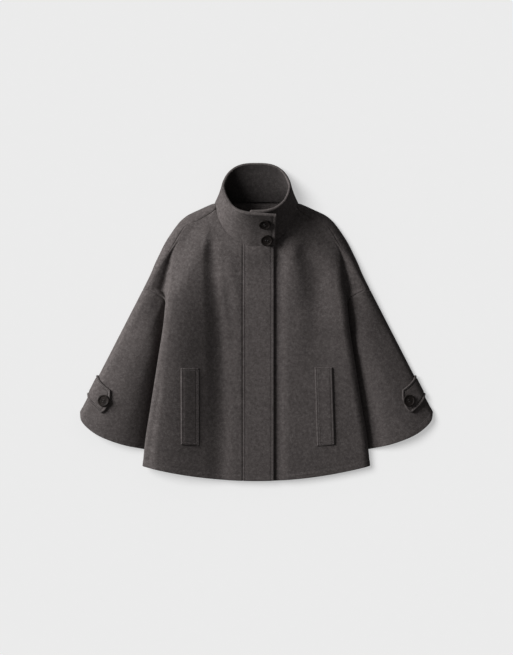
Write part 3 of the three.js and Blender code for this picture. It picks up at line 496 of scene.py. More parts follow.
def collar_turns():
    middle = float(turn_of_x(PLACKET_MIDDLE_X))
    rows = np.concatenate([neck_rows, [272, NECK_CORNER_Y]])
    corner = float(turn_of_row(NECK_CORNER_Y))
    side = np.concatenate([turn_of_row(rows), [mix(corner, 90, 1 / 3), mix(corner, 90, 2 / 3)]])
    under = fill([COLLAR_START, 0, middle, side[0]], 2.4)[:-1]
    half = np.concatenate([side, back_line[:, 0]])
    seam, edge = -float(turn_of_x(PLACKET_SEAM_X)), float(turn_of_x(PLACKET_EDGE_X))
    over = fill([0, middle, seam, edge, COLLAR_END], 2)
    before = fill([-side[0], 0], 2.4)[1:-1]
    return np.concatenate([under, half, (360 - half[:-1])[::-1], 360 + before, 360 + over])


def collar_at(turn, rise):
    """Outer surface of the collar at turns and shares of its height"""
    low = neck_point(turn)
    lift = -UNDERLAP_DROP * (1 - ease(27, 62, turn))
    lift = lift + PLACKET_PROUD * ease(341, 350, turn) + OVERLAP_RISE * ease(362, 378, turn)
    low = low + stack(0.0, 0.0, lift)
    top = stack(collar_x(turn), collar_y(turn), collar_z(turn))
    middle = (low + top) / 2
    facing = np.cos(np.radians(turn))
    front = np.maximum(0, facing) ** 1.5
    bend = stack(np.sign(middle[..., 0]) * -4 * (1 - np.abs(facing)), 16 * front, -8 * front)
    middle = middle + bend
    rise = np.asarray(rise, float)[..., None]
    return low * (1 - rise) ** 2 + middle * 2 * rise * (1 - rise) + top * rise**2


def collar_grid():
    turns = collar_turns()
    rises = np.concatenate([[0, 0.008, 0.019, 0.034], fill([0.055, 0.94], 0.033), [0.957, 1]])
    return collar_at(turns[None], rises[:, None])


def armhole_ring(upper_row):
    """Rings' start: from the outer fold over the front to the underarm, and back below"""
    y = armhole_rows
    over = stack(front_hole_x(y), y, front_hole_z(y))[::-1]
    under = stack(back_hole_x(y), y, back_hole_z(y))[1:]
    fold, floor = sum(UPPER_COUNTS[:2]), sum(UPPER_COUNTS[:4])
    upper = np.concatenate([upper_row[: fold + 1][::-1], over[1:]])
    lower = np.concatenate([under[:-1], upper_row[fold + 1 : floor + 1][::-1]])
    return upper, lower, floor - fold


def shares(points):
    steps = np.hypot(*np.diff(points[:, :2], axis=0).T)
    total = np.concatenate([[0], np.cumsum(steps)])
    return total / total[-1]


CUFF_LINE = 14
SLEEVE_RINGS = [0, 0.002, 0.005, 0.009, 0.06, 0.14, 0.24, 0.35, 0.46, 0.58, 0.7, 0.783, 0.862,
                0.93, 0.9595, 0.9635, 0.9675, 0.98, 0.984, 0.988, 0.9945, 1]


def sleeve_grid(upper_row, heights):
    mid_z, cuff_z = curves(heights)
    upper, lower, wrapped = armhole_ring(upper_row)
    over = shares(upper)
    under = shares(np.concatenate([upper[-1:], lower, upper[:1]]))[1:-1]
    along = fill(SLEEVE_RINGS, 0.0085)[:, None]
    filled = ease(0, 0.3, along)
    to_cuff = ease(0.55, 1, along)
    top_z = mix(mid_z(over), cuff_z(over), to_cuff)
    top = stack(
        mix(upper[:, 0], cuff_x(over), along),
        mix(upper[:, 1], cuff_y(over), along),
        mix(upper[:, 2], top_z, filled),
    )
    inner_z = top[:, -1:, 2]
    span = np.abs(top[:, :1, 0] - top[:, -1:, 0])
    tucked = inner_z * np.maximum(0, 1 - under * span / 9) ** 2
    low_z = mix(lower[:, 2], tucked, filled)
    outer = top[:, :1, 2] / upper[0, 2] * lower[-wrapped:, 2]
    low_z[:, -wrapped:] = outer
    low = stack(
        mix(lower[:, 0], cuff_x(1 - under), along),
        mix(lower[:, 1], cuff_y(1 - under), along),
        low_z,
    )
    return np.concatenate([top, low, top[:, :1]], 1), over, along[:, 0]


# ---------------------------------------------------------------- cloth walls
def side_distance(grid, side):
    """How far each point lies from a side of its grid, along the grid's lines"""
    axis = 0 if side in ("first_row", "last_row") else 1
    steps = np.linalg.norm(np.diff(grid, axis=axis), axis=-1)
    total = np.cumsum(steps, axis=axis)
    zero = np.zeros_like(np.take(total, [0], axis=axis))
    total = np.concatenate([zero, total], axis=axis)
    if side.startswith("last"):
        total = np.take(total, [-1], axis=axis) - total
    return total


class Piece:
    """Grids of outer points that make one cut piece"""

    def __init__(self):
        self.grids, self.reliefs, self.flips, self.free = [], [], [], []

    def add(self, grid, flipped=False, free=(), relief=None):
        self.grids.append(grid)
        self.flips.append(flipped)
        self.reliefs.append(np.zeros(grid.shape[:2]) if relief is None else relief)
        mark = np.zeros(grid.shape[:2], bool)
        for side in free:
            where = {"first_row": (0, slice(None)), "last_row": (-1, slice(None)),
                     "first_column": (slice(None), 0), "last_column": (slice(None), -1)}[side]
            mark[where] = True
        self.free.append(mark)
        return self

    def weld(self):
        points = np.concatenate([g.reshape(-1, 3) for g in self.grids])
        relief = np.concatenate([r.reshape(-1) for r in self.reliefs])
        free = np.concatenate([f.reshape(-1) for f in self.free])
        _, keep, ids = np.unique(
            np.round(points, 3), axis=0, return_index=True, return_inverse=True
        )
        ids = ids.reshape(-1)
        quads, start = [], 0
        for grid, flipped in zip(self.grids, self.flips):
            rows, columns = grid.shape[:2]
            spot = ids[start : start + rows * columns].reshape(rows, columns)
            start += rows * columns
            q = np.stack([spot[:-1, :-1], spot[:-1, 1:], spot[1:, 1:], spot[1:, :-1]], -1)
            q = q.reshape(-1, 4)
            quads.append(q[:, ::-1] if flipped else q)
        self.points, self.relief, self.quads = points[keep], relief[keep], np.concatenate(quads)
        self.is_free = np.zeros(len(keep), bool)
        np.logical_or.at(self.is_free, ids, free)
        return self


def shared_normals(pieces):
    """Area-weighted normals, shared between pieces that meet at a seam"""
    points = np.concatenate([p.points for p in pieces])
    _, ids = np.unique(np.round(points, 2), axis=0, return_inverse=True)
    ids = ids.reshape(-1)
    total = np.zeros((ids.max() + 1, 3))
    start = 0
    for piece in pieces:
        p, q = piece.points, piece.quads
        face = np.cross(p[q[:, 2]] - p[q[:, 0]], p[q[:, 3]] - p[q[:, 1]])
        for k in range(4):
            np.add.at(total, ids[start + q[:, k]], face)
        start += len(p)
    normals = unit(total)[ids]
    start = 0
    for piece in pieces:
        piece.normals = normals[start : start + len(piece.points)]
        start += len(piece.points)


ROLL_STEPS = 4
SEAM_BULGE = 0.07
SHARP_ANGLE = math.radians(58)


def wall(piece, name, thickness, material, painted_shade_material=None):
    """A closed wall: outer surface with its relief, inner surface, rounded rims; a second material,
    if given, paints shade on the inner surface and the sewn rims
    """
    p, n, q = piece.points, piece.normals, piece.quads
    count = len(p)
    edges = np.concatenate([q[:, [0, 1]], q[:, [1, 2]], q[:, [2, 3]], q[:, [3, 0]]])
    edges = edges[edges[:, 0] != edges[:, 1]]
    forward, backward = edges[:, 0] * count + edges[:, 1], edges[:, 1] * count + edges[:, 0]
    rim = edges[~np.isin(forward, backward)]
    along = unit(p[rim[:, 1]] - p[rim[:, 0]])
    inward = unit(np.cross(unit(n[rim[:, 0]] + n[rim[:, 1]]), along))
    pull = np.zeros_like(p)
    np.add.at(pull, rim[:, 0], inward)
    np.add.at(pull, rim[:, 1], inward)
    size = np.linalg.norm(pull, axis=1)
    direction = pull / np.maximum(size, 0.5)[:, None]
    # at a corner both edges pull, so the point moves further along their middle
    reach = 1 / np.maximum(0.5, size / 2)
    step = np.where(piece.is_free, thickness / 2, SEAM_GAP / 2) * reach * (size > 0.3)
    base = p + direction * step[:, None]
    outer = base + n * piece.relief[:, None]
    outer[:, 2] = np.maximum(outer[:, 2], 0.02)
    inner = base - n * thickness
    points = [outer, inner]
    rim_points = np.unique(rim)
    spot = np.full(count, -1)
    spot[rim_points] = np.arange(len(rim_points))
    o, i, d = outer[rim_points], inner[rim_points], direction[rim_points]
    bulge = np.where(piece.is_free[rim_points], thickness / 2, SEAM_BULGE)[:, None]
    rings = [np.asarray(rim_points)]
    start = 2 * count
    for k in range(1, ROLL_STEPS):
        angle = math.pi * k / ROLL_STEPS
        ring = mix(o, i, (1 - math.cos(angle)) / 2) - d * bulge * math.sin(angle)
        points.append(ring)
        rings.append(start + np.arange(len(rim_points)))
        start += len(rim_points)
    rings.append(rim_points + count)
    a, b = spot[rim[:, 0]], spot[rim[:, 1]]
    faces = [q, q[:, ::-1] + count]
    for near, far in zip(rings, rings[1:]):
        faces.append(np.stack([near[a], far[a], far[b], near[b]], -1))
    made_piece = make_mesh(name, np.concatenate(points), np.concatenate(faces), material)
    # painted shade: the inner surface and the sewn rims take the darker second material
    if painted_shade_material is not None:
        made_piece.data.materials.append(painted_shade_material)
        painted_shade_faces = set(range(count, 2 * count))
        for ring in rings[1:-1]:
            painted_shade_faces.update(ring[~piece.is_free[rim_points]].tolist())
        for face in made_piece.data.polygons:
            if painted_shade_faces.issuperset(face.vertices):
                face.material_index = 1
    return made_piece


def make_mesh(name, points, faces, material):
    """A smooth object from points in millimetres; faces may repeat a corner"""
    rings = [list(dict.fromkeys(face)) for face in np.asarray(faces).tolist()]
    cleaned = [ring for ring in rings if len(ring) > 2]
    mesh = bpy.data.meshes.new(name)
    mesh.from_pydata((np.asarray(points) * MM).tolist(), [], cleaned)
    mesh.update()
    mesh.validate()
    mesh.shade_smooth()
    mesh.set_sharp_from_angle(angle=SHARP_ANGLE)
    piece = bpy.data.objects.new(name, mesh)
    bpy.context.scene.collection.objects.link(piece)
    mesh.materials.append(material)
    return piece


# ---------------------------------------------------------------- materials
def nodes_of(name):
    """A new material, its tree and shader, and its object's coordinates"""
    material = bpy.data.materials.new(name)
    material.use_nodes = True
    tree = material.node_tree
    place = add_node(tree, "ShaderNodeTexCoord").outputs["Object"]
    return material, tree, tree.nodes["Principled BSDF"], place


def add_node(tree, kind, inputs=None, **settings):
    node = tree.nodes.new(kind)
    for key, value in settings.items():
        setattr(node, key, value)
    for key, value in (inputs or {}).items():
        set_input(tree, node, key, value)
    return node


def set_input(tree, node, key, value):
    if isinstance(value, bpy.types.NodeSocket):
        tree.links.new(value, node.inputs[key])
    else:
        node.inputs[key].default_value = value


def finish_material(tree, shader, inputs):
    for key, value in inputs.items():
        set_input(tree, shader, key, value)


def noise(tree, place, scale, detail, roughness=0.5, distortion=0.0):
    return add_node(tree, "ShaderNodeTexNoise", {
        "Vector": place, "Scale": scale, "Detail": detail, "Roughness": roughness,
        "Distortion": distortion,
    })


def rotated(tree, place, angle, scale):
    inputs = {"Vector": place, "Rotation": (0, 0, angle), "Scale": scale}
    return add_node(tree, "ShaderNodeMapping", inputs).outputs["Vector"]


def maths(tree, operation, *values):
    inputs = dict(enumerate(values))
    return add_node(tree, "ShaderNodeMath", inputs, operation=operation).outputs[0]


def ranged(tree, value, low, high, source=(0.0, 1.0)):
    inputs = {"Value": value, "From Min": source[0], "From Max": source[1]}
    inputs.update({"To Min": low, "To Max": high})
    return add_node(tree, "ShaderNodeMapRange", inputs).outputs["Result"]


def bump(tree, height, strength, distance, under=None):
    inputs = {"Height": height, "Strength": strength, "Distance": distance}
    if under is not None:
        inputs["Normal"] = under
    return add_node(tree, "ShaderNodeBump", inputs).outputs["Normal"]


def ramp(tree, factor, stops, tone=1.0):
    node = add_node(tree, "ShaderNodeValToRGB", {"Fac": factor})
    elements = node.color_ramp.elements
    while len(elements) < len(stops):
        elements.new(0.5)
    for element, (position, value) in zip(elements, stops):
        element.position = position
        element.color = (*(tone * c for c in value), 1)
    return node.outputs["Color"]


def wool(name, tone=1.0):
    material, tree, shader, place = nodes_of(name)
    warp = noise(tree, place, 260, 2).outputs["Color"]
    bent = add_node(
        tree, "ShaderNodeMixRGB", {"Fac": 0.004, "Color1": place, "Color2": warp}
    ).outputs["Color"]
    broad = noise(tree, place, 22, 3).outputs["Fac"]
    heather = noise(tree, place, 420, 4, 0.7).outputs["Fac"]
    stretched = rotated(tree, bent, 0.6, (1, 0.22, 1))
    crossed = rotated(tree, bent, -0.9, (0.22, 1, 1))
    fibre_a = noise(tree, stretched, 2100, 3).outputs["Fac"]
    fibre_b = noise(tree, crossed, 1900, 3).outputs["Fac"]
    fibre = maths(tree, "ADD", fibre_a, fibre_b)
    weave = add_node(
        tree, "ShaderNodeTexWave",
        {"Vector": stretched, "Scale": 260, "Distortion": 3.5, "Detail": 2, "Detail Scale": 2},
        bands_direction="DIAGONAL",
    ).outputs["Fac"]
    blotch = noise(tree, bent, 150, 4, 0.62, 0.4).outputs["Fac"]
    blend = 0.0
    for value, weight in ((heather, 0.45), (fibre, 0.25), (blotch, 0.5)):
        blend = maths(tree, "MULTIPLY_ADD", value, weight, blend)
    colour = ramp(tree, blend, [
        (0.56, (0.042, 0.0362, 0.0350)), (0.725, (0.072, 0.0628, 0.0612)),
        (0.88, (0.118, 0.1055, 0.1030)),
    ], tone)
    tone_wide = ramp(tree, broad, [(0.3, (0.93,) * 3), (0.7, (1.06,) * 3)])
    colour = add_node(
        tree, "ShaderNodeMixRGB", {"Fac": 1.0, "Color1": colour, "Color2": tone_wide},
        blend_type="MULTIPLY",
    ).outputs["Color"]
    nap = bump(tree, fibre, 0.55, 0.0006)
    woven = bump(tree, weave, 0.12, 0.0004, nap)
    finish_material(tree, shader, {
        "Base Color": colour,
        "Roughness": ranged(tree, fibre, 0.8, 0.98, (0.7, 1.3)),
        "Normal": bump(tree, heather, 0.3, 0.0008, woven),
        "Specular IOR Level": 0.12,
        "Sheen Weight": 0.08,
        "Sheen Roughness": 0.45,
        "Sheen Tint": (0.75, 0.70, 0.68, 1),
    })
    return material


def horn(name):
    material, tree, shader, place = nodes_of(name)
    cloud = noise(tree, place, 170, 4, 0.6, 1.2).outputs["Fac"]
    fine = noise(tree, place, 1600, 3).outputs["Fac"]
    finish_material(tree, shader, {
        "Base Color": ramp(tree, cloud, [
            (0.35, (0.007, 0.0055, 0.005)), (0.55, (0.015, 0.012, 0.011)),
            (0.72, (0.034, 0.027, 0.024)),
        ]),
        "Roughness": ranged(tree, fine, 0.48, 0.66, (0.3, 0.7)),
        "Normal": bump(tree, fine, 0.2, 0.00015),
        "Specular IOR Level": 0.1,
    })
    return material


def thread(name, tone=1.0):
    material, tree, shader, place = nodes_of(name)
    twist = add_node(
        tree, "ShaderNodeTexWave",
        {"Vector": place, "Scale": 900, "Distortion": 1.0}, bands_direction="DIAGONAL",
    ).outputs["Fac"]
    stops = [(0.2, (0.090, 0.079, 0.077)), (0.8, (0.180, 0.160, 0.156))]
    finish_material(tree, shader, {
        "Base Color": ramp(tree, twist, stops, tone),
        "Roughness": ranged(tree, twist, 0.55, 0.8),
        "Normal": bump(tree, twist, 0.4, 0.0001),
    })
    return material


FLOOR_GLOW = 0.422


def paper(name):
    material, tree, shader, place = nodes_of(name)
    grain = noise(tree, place, 40, 2).outputs["Fac"]
    finish_material(tree, shader, {
        "Base Color": ramp(tree, grain, [(0.3, (0.538,) * 3), (0.7, (0.542,) * 3)]),
        "Roughness": 1.0,
        "Specular IOR Level": 0.0,
        "Emission Color": (1, 1, 1, 1),
        "Emission Strength": FLOOR_GLOW,
    })
    return material


WOOL = wool("wool_coating")
# the same wool at 0.35 of its tone: painted shade for the collar's inside and its sewn rims
COLLAR_PAINTED_SHADE_WOOL = wool("collar_inside_painted_shade", 0.35)
THREAD = thread("sewing_thread")
HEM_THREAD = thread("hem_thread", 0.55)
BUTTON_THREAD = thread("button_thread", 0.25)
HORN = horn("horn_button")


# ---------------------------------------------------------------- stitches
def line_beside(grid, normals, side, inset):
    """Points and normals on a grid at a distance inside one of its sides"""
    if side in ("first_row", "last_row"):
        grid, normals = grid.transpose(1, 0, 2), normals.transpose(1, 0, 2)
    if side.startswith("last"):
        grid, normals = grid[:, ::-1], normals[:, ::-1]
    out, directions = [], []
    for line, normal in zip(grid, normals):
        far = np.concatenate([[0], np.cumsum(np.linalg.norm(np.diff(line, axis=0), axis=1))])
        out.append([np.interp(inset, far, line[:, k]) for k in range(3)])
        directions.append([np.interp(inset, far, normal[:, k]) for k in range(3)])
    return np.array(out), unit(np.array(directions))


# Rings of a stitch between its two tips: place along it and size, in half lengths and radii
STITCH = [(-0.7, 0.8), (0, 1), (0.7, 0.8)]
TIP_DEPTH = 0.15


def tube_faces(rings, sides):
    """Quads between neighbouring rings of points"""
    faces = []
    for r in range(rings - 1):
        for k in range(sides):
            m = (k + 1) % sides
            faces.append((r * sides + k, r * sides + m, (r + 1) * sides + m, (r + 1) * sides + k))
    return faces


def along_line(spots, far, values):
    return np.stack([np.interp(spots, far, values[:, k]) for k in range(3)], -1)


def stitches(line, normals, pitch=3.6, length=2.7, radius=0.42, lift=0.15, skip=(0, 0)):
    """Points and faces of thread stitches laid along a line"""
    steps = np.linalg.norm(np.diff(line, axis=0), axis=1)
    far = np.concatenate([[0], np.cumsum(steps)])
    spots = np.arange(skip[0] + pitch / 2, far[-1] - skip[1] - pitch / 2, pitch)
    if len(spots) == 0:
        return np.zeros((0, 3)), np.zeros((0, 4), int)
    at = along_line(spots, far, line)
    up = unit(along_line(spots, far, normals))
    along = unit(along_line(spots + 0.6, far, line) - along_line(spots - 0.6, far, line))
    across = unit(np.cross(up, along))
    at = at + up * lift
    sides = 6
    shape = []
    for share, size in STITCH:
        for k in range(sides):
            angle = 2 * math.pi * k / sides
            shape.append((share * length / 2, size * radius * math.cos(angle),
                          size * radius * math.sin(angle)))
    shape += [(-length / 2, 0, -TIP_DEPTH), (length / 2, 0, -TIP_DEPTH)]
    shape = np.array(shape)
    points = (
        at[:, None]
        + along[:, None] * shape[None, :, :1]
        + across[:, None] * shape[None, :, 1:2]
        + up[:, None] * shape[None, :, 2:]
    )
    rings = len(STITCH)
    faces = tube_faces(rings, sides)
    tail, head = rings * sides, rings * sides + 1
    for k in range(sides):
        m = (k + 1) % sides
        faces.append((tail, m, k, k))
        faces.append((head, (rings - 1) * sides + k, (rings - 1) * sides + m,
                      (rings - 1) * sides + m))
    faces = np.array(faces)[:, ::-1]
    total = faces[None] + (np.arange(len(at)) * len(shape))[:, None, None]
    return points.reshape(-1, 3), total.reshape(-1, 4)


def stitch_mesh(name, lines, material=THREAD):
    points, faces, start = [], [], 0
    for made in lines:
        points.append(made[0])
        faces.append(made[1] + start)
        start += len(made[0])
    return make_mesh(name, np.concatenate(points), np.concatenate(faces), material)


def groove(distance, depth, width, at=0.0):
    """Relief of a pressed line; a depth below zero raises a bead"""
    return -depth * np.exp(-(((distance - at) / width) ** 2))


# ---------------------------------------------------------------- pieces
def mirrored(grid):
    return grid * np.array([-1.0, 1, 1])


SEAM_DEPTH, SEAM_WIDTH = 1.3, 1.9
NECK_SEAM_DEPTH = 0.3

right_grid, left_grid = front_grid(-1), front_grid(1)
lower, upper = back_lower_grid(), back_upper_grid()
left_sleeve_points, sleeve_over, sleeve_along = sleeve_grid(upper[0], LEFT_SLEEVE_TOP)
right_sleeve_points = sleeve_grid(upper[0], SLEEVE_TOP)[0]
collar_points = collar_grid()


def hem_relief(distance):
    turned = 0.5 * (1 - ease(HEM_LINE - 2, HEM_LINE + 2, distance))
    return turned + groove(distance, 0.55, 1.1, HEM_LINE)


def front_relief(grid):
    seam = mix(SEAM_DEPTH, NECK_SEAM_DEPTH, ease(NECK_START_Y - 8, NECK_START_Y, grid[..., 1]))
    return (
        groove(side_distance(grid, "first_column"), seam, SEAM_WIDTH)
        + groove(side_distance(grid, "last_column"), SEAM_DEPTH, SEAM_WIDTH)
        + hem_relief(side_distance(grid, "first_row"))
    )


right = Piece().add(right_grid, True, ["first_row"], front_relief(right_grid)).weld()
left = Piece().add(left_grid, False, ["first_row"], front_relief(left_grid)).weld()
back = Piece()
lower_relief = groove(side_distance(lower, "first_column"), SEAM_DEPTH, SEAM_WIDTH)
upper_relief = groove(side_distance(upper, "first_column"), SEAM_DEPTH, SEAM_WIDTH)
upper_relief = upper_relief + groove(side_distance(upper, "last_row"), SEAM_DEPTH, SEAM_WIDTH)
back.add(lower, False, ["first_row"], lower_relief)
back.add(mirrored(lower), True, ["first_row"], lower_relief)
back.add(upper, False, [], upper_relief)
back.add(mirrored(upper), True, [], upper_relief)
back.weld()


def sleeve_relief(grid):
    cuff_distance = side_distance(grid, "last_row")
    return (
        groove(side_distance(grid, "first_row"), SEAM_DEPTH, SEAM_WIDTH)
        + 0.5 * (1 - ease(CUFF_LINE - 2, CUFF_LINE + 2, cuff_distance))
        + groove(cuff_distance, 0.5, 1.1, CUFF_LINE)
    )


sleeve_left = Piece().add(
    left_sleeve_points, False, ["last_row"], sleeve_relief(left_sleeve_points)
).weld()
sleeve_right = Piece().add(
    mirrored(right_sleeve_points), True, ["last_row"], sleeve_relief(right_sleeve_points)
).weld()
collar_end = side_distance(collar_points, "last_column")
collar_relief = (
    groove(side_distance(collar_points, "first_row"), NECK_SEAM_DEPTH, 2.5)
    + groove(collar_end, 1.0, 1.9, 8.5)
    + groove(collar_end, -0.9, 2.6, 3.5)
)
collar = Piece().add(
    collar_points, False, ["last_row", "first_column", "last_column"], collar_relief
).weld()
shared_normals([right, left, back, sleeve_left, sleeve_right, collar])

made = {}
for name, piece in [
    ("front_right", right), ("front_left", left), ("back_panel", back),
    ("sleeve_left", sleeve_left), ("sleeve_right", sleeve_right),
]:
    made[name] = wall(piece, name + "_cloth", BODY_CLOTH, WOOL)
# the collar's inside is painted darker with the wool's darker copy: painted shade
made["collar"] = wall(collar, "collar_cloth", COLLAR_CLOTH, WOOL, COLLAR_PAINTED_SHADE_WOOL)


# Placket
def placket_grid():
    width = PLACKET_EDGE_X - PLACKET_SEAM_X
    spots = [0, 0.8, 1.9, 3.3, 5.1, 6, 6.9, 9, width - 9, width - 6.9, width - 6, width - 5.1,
             width - 3.6, width]
    x = PLACKET_SEAM_X + fill(spots, STEP)
    chest_rows = fill([ARMHOLE_TOP_Y, *SHOULDER_ROWS[:-1]], STEP)[1:]
    straight = np.concatenate([below_arm, armhole_rows, chest_rows])
    y = np.repeat(straight[:, None], len(x), 1)
    top = placket_top_y(x)[None]
    last = mix(160, top, np.array([0.15, 0.3, 0.45, 0.6, 0.75, 0.88, 0.96, 1])[:, None])
    y = np.concatenate([y, last])
    x = np.broadcast_to(x[None], y.shape)
    return with_hem_curve(stack(x, y, front_height(x, y) + PLACKET_PROUD))


placket_points = placket_grid()
from_seam = side_distance(placket_points, "first_column")
from_edge = side_distance(placket_points, "last_column")
placket_relief = (
    groove(from_seam, 0.7, 1.2)
    + groove(from_seam, 0.8, 1.3, 6)
    + groove(from_edge, 0.8, 1.3, 6)
    + groove(side_distance(placket_points, "last_row"), NECK_SEAM_DEPTH, SEAM_WIDTH)
    + hem_relief(side_distance(placket_points, "first_row"))
)
placket = Piece().add(
    placket_points, False, ["first_row", "last_column"], placket_relief
).weld()
shared_normals([placket])
made["front_placket"] = wall(placket, "front_placket_cloth", PLACKET_CLOTH, WOOL)


# Welts
def front_seat(x, y, side):
    return with_hem_curve(stack(x, y, front_height(x, y) - placket_dip(x, side)))


def front_normal(x, y, side, step=0.5):
    over = front_seat(x + step, y, side) - front_seat(x - step, y, side)
    up = front_seat(x, y + step, side) - front_seat(x, y - step, side)
    return unit(np.cross(over, up))


def laid(seat, normal, thickness, flipped, relief=0.0, free=()):
    piece = Piece()
    grid = seat + normal * (thickness + LAY_GAP)
    piece.add(grid, flipped, free, np.zeros(grid.shape[:2]) + relief)
    piece.weld()
    shared_normals([piece])
    return piece, grid


welt_threads = {}
for name, side, top_x, low_x, high, low in WELTS:
    edge = [0, 1.7, 3, 5.2, 6, 6.8]
    over = np.array([*edge, *fill([9, WELT_WIDTH - 9], 1.8), *(WELT_WIDTH - np.array(edge))[::-1]])
    length = high - low
    up = np.array([*edge, *fill([9, length - 9], 2.4), *(length - np.array(edge))[::-1]])
    share = (up / length)[:, None]
    x = side * (mix(low_x, top_x, share) + over[None])
    y = np.broadcast_to(mix(low, high, share), x.shape)
    seat, normal = front_seat(x, y, side), front_normal(x, y, side)
    inner, outer_edge = over[None], WELT_WIDTH - over[None]
    ends = np.minimum(up, length - up)[:, None]
    relief = (
        groove(inner, 0.6, 1.1, 6)
        + groove(outer_edge, 0.6, 1.1, 6)
        + groove(ends, 0.6, 1.1, 6)
        + groove(np.minimum(np.minimum(inner, outer_edge), ends), 0.8, 2.0)
        + mix(-1.5, 0.2, ease(0, WELT_WIDTH, inner))
    )
    sides = ["first_row", "last_row", "first_column", "last_column"]
    piece, grid = laid(seat, normal, WELT_CLOTH, side < 0, relief, sides)
    made[name] = wall(piece, name + "_cloth", WELT_CLOTH, WOOL)
    welt_threads[name] = [
        stitches(*line_beside(grid, normal, border, inset), skip=skip)
        for border, inset, skip in [
            ("first_column", 6, (6, 6)), ("first_row", 6, (6, 2)),
            ("last_row", 6, (6, 2)), ("first_column", 2.2, (2, 2)),
        ]
    ]


# Sleeve tabs, made on the left side; the right one is turned over to its own side
def on_sleeve(grid, normals, across, along):
    """Outer point and normal of a sleeve at shares across and along"""
    column = np.interp(across, sleeve_over, np.arange(len(sleeve_over)))
    row = np.interp(along, sleeve_along, np.arange(len(sleeve_along)))
    c = np.minimum(column.astype(int), grid.shape[1] - 2)
    r = np.minimum(row.astype(int), grid.shape[0] - 2)
    u, v = (column - c)[..., None], (row - r)[..., None]

    def sample(values):
        near = mix(values[r, c], values[r, c + 1], u)
        far = mix(values[r + 1, c], values[r + 1, c + 1], u)
        return mix(near, far, v)

    return sample(grid), unit(sample(normals))


TAB_ENDS = [0, 0.004, 0.008, 0.0135, 0.017, 0.022]
tab_knots = [*(TAB[0][0] + np.array(TAB_ENDS)), *(TAB[-1][0] - np.array(TAB_ENDS)[::-1])]
tab_along = fill(tab_knots, 0.005)
tab_shares = np.array([*fill([0, 0.9], 0.028), 0.925, 0.94, 0.955, 0.975, 1])
TAB_SIDES = ["first_row", "last_row", "last_column"]
TUCK_STEPS = np.array([1, 0.7, 0.4])


def tab(name, points, turned):
    """A sleeve tab with its stitches and its button's place"""
    normals = grid_normals(points)
    across = tab_reach(tab_along)[:, None] * tab_shares[None]
    along = np.repeat(tab_along[:, None], len(tab_shares), 1)
    seat, normal = on_sleeve(points, normals, across, along)
    tucked = seat[:, :1] + TUCK_STEPS[None, :, None] * np.array([-1.5, -0.5, -6.0])
    seat = np.concatenate([tucked, seat], 1)
    normal = np.concatenate([np.repeat(normal[:, :1], len(TUCK_STEPS), 1), normal], 1)
    grid = seat + normal * (TAB_CLOTH + LAY_GAP)
    from_rim = np.minimum.reduce([side_distance(grid, side) for side in TAB_SIDES])
    relief = groove(from_rim, 1.3, 1.5, 7.2) + groove(from_rim, -1.4, 2.2, 3)
    lines = [
        stitches(*line_beside(grid[:, 3:], normal[:, 3:], "first_row", 6), skip=(0, 6)),
        stitches(*line_beside(grid[:, 3:], normal[:, 3:], "last_row", 6), skip=(0, 6)),
        stitches(*line_beside(grid, normal, "last_column", 6), skip=(6, 6)),
    ]
    button_seat, button_up = on_sleeve(
        points, normals, np.array(TAB_BUTTON[0]), np.array(TAB_BUTTON[1])
    )
    lifted = button_seat + button_up * (TAB_CLOTH + LAY_GAP)
    if turned:
        seat, normal = mirrored(seat), mirrored(normal)
        lines = [mirrored_stitches(line) for line in lines]
        lifted, button_up = mirrored(lifted), mirrored(button_up)
    piece, _ = laid(seat, normal, TAB_CLOTH, turned, relief, TAB_SIDES)
    made[name] = wall(piece, name + "_cloth", TAB_CLOTH, WOOL)
    return lines, lifted, button_up


def mirrored_stitches(line):
    points, faces = line
    return mirrored(points), faces[:, ::-1]


left_tab_lines, left_button_seat, left_button_up = tab(
    "sleeve_tab_left", left_sleeve_points, False
)
right_tab_lines, right_button_seat, right_button_up = tab(
    "sleeve_tab_right", right_sleeve_points, True
)


# Buttons
HOLE_SPOT, HOLE_RADIUS, HOLE_DEPTH = 2.5, 1.05, 2.0
BUTTON_SIDES = 72
BUTTON_THREAD_RADIUS, BUTTON_THREAD_RISE = 0.33, 0.95


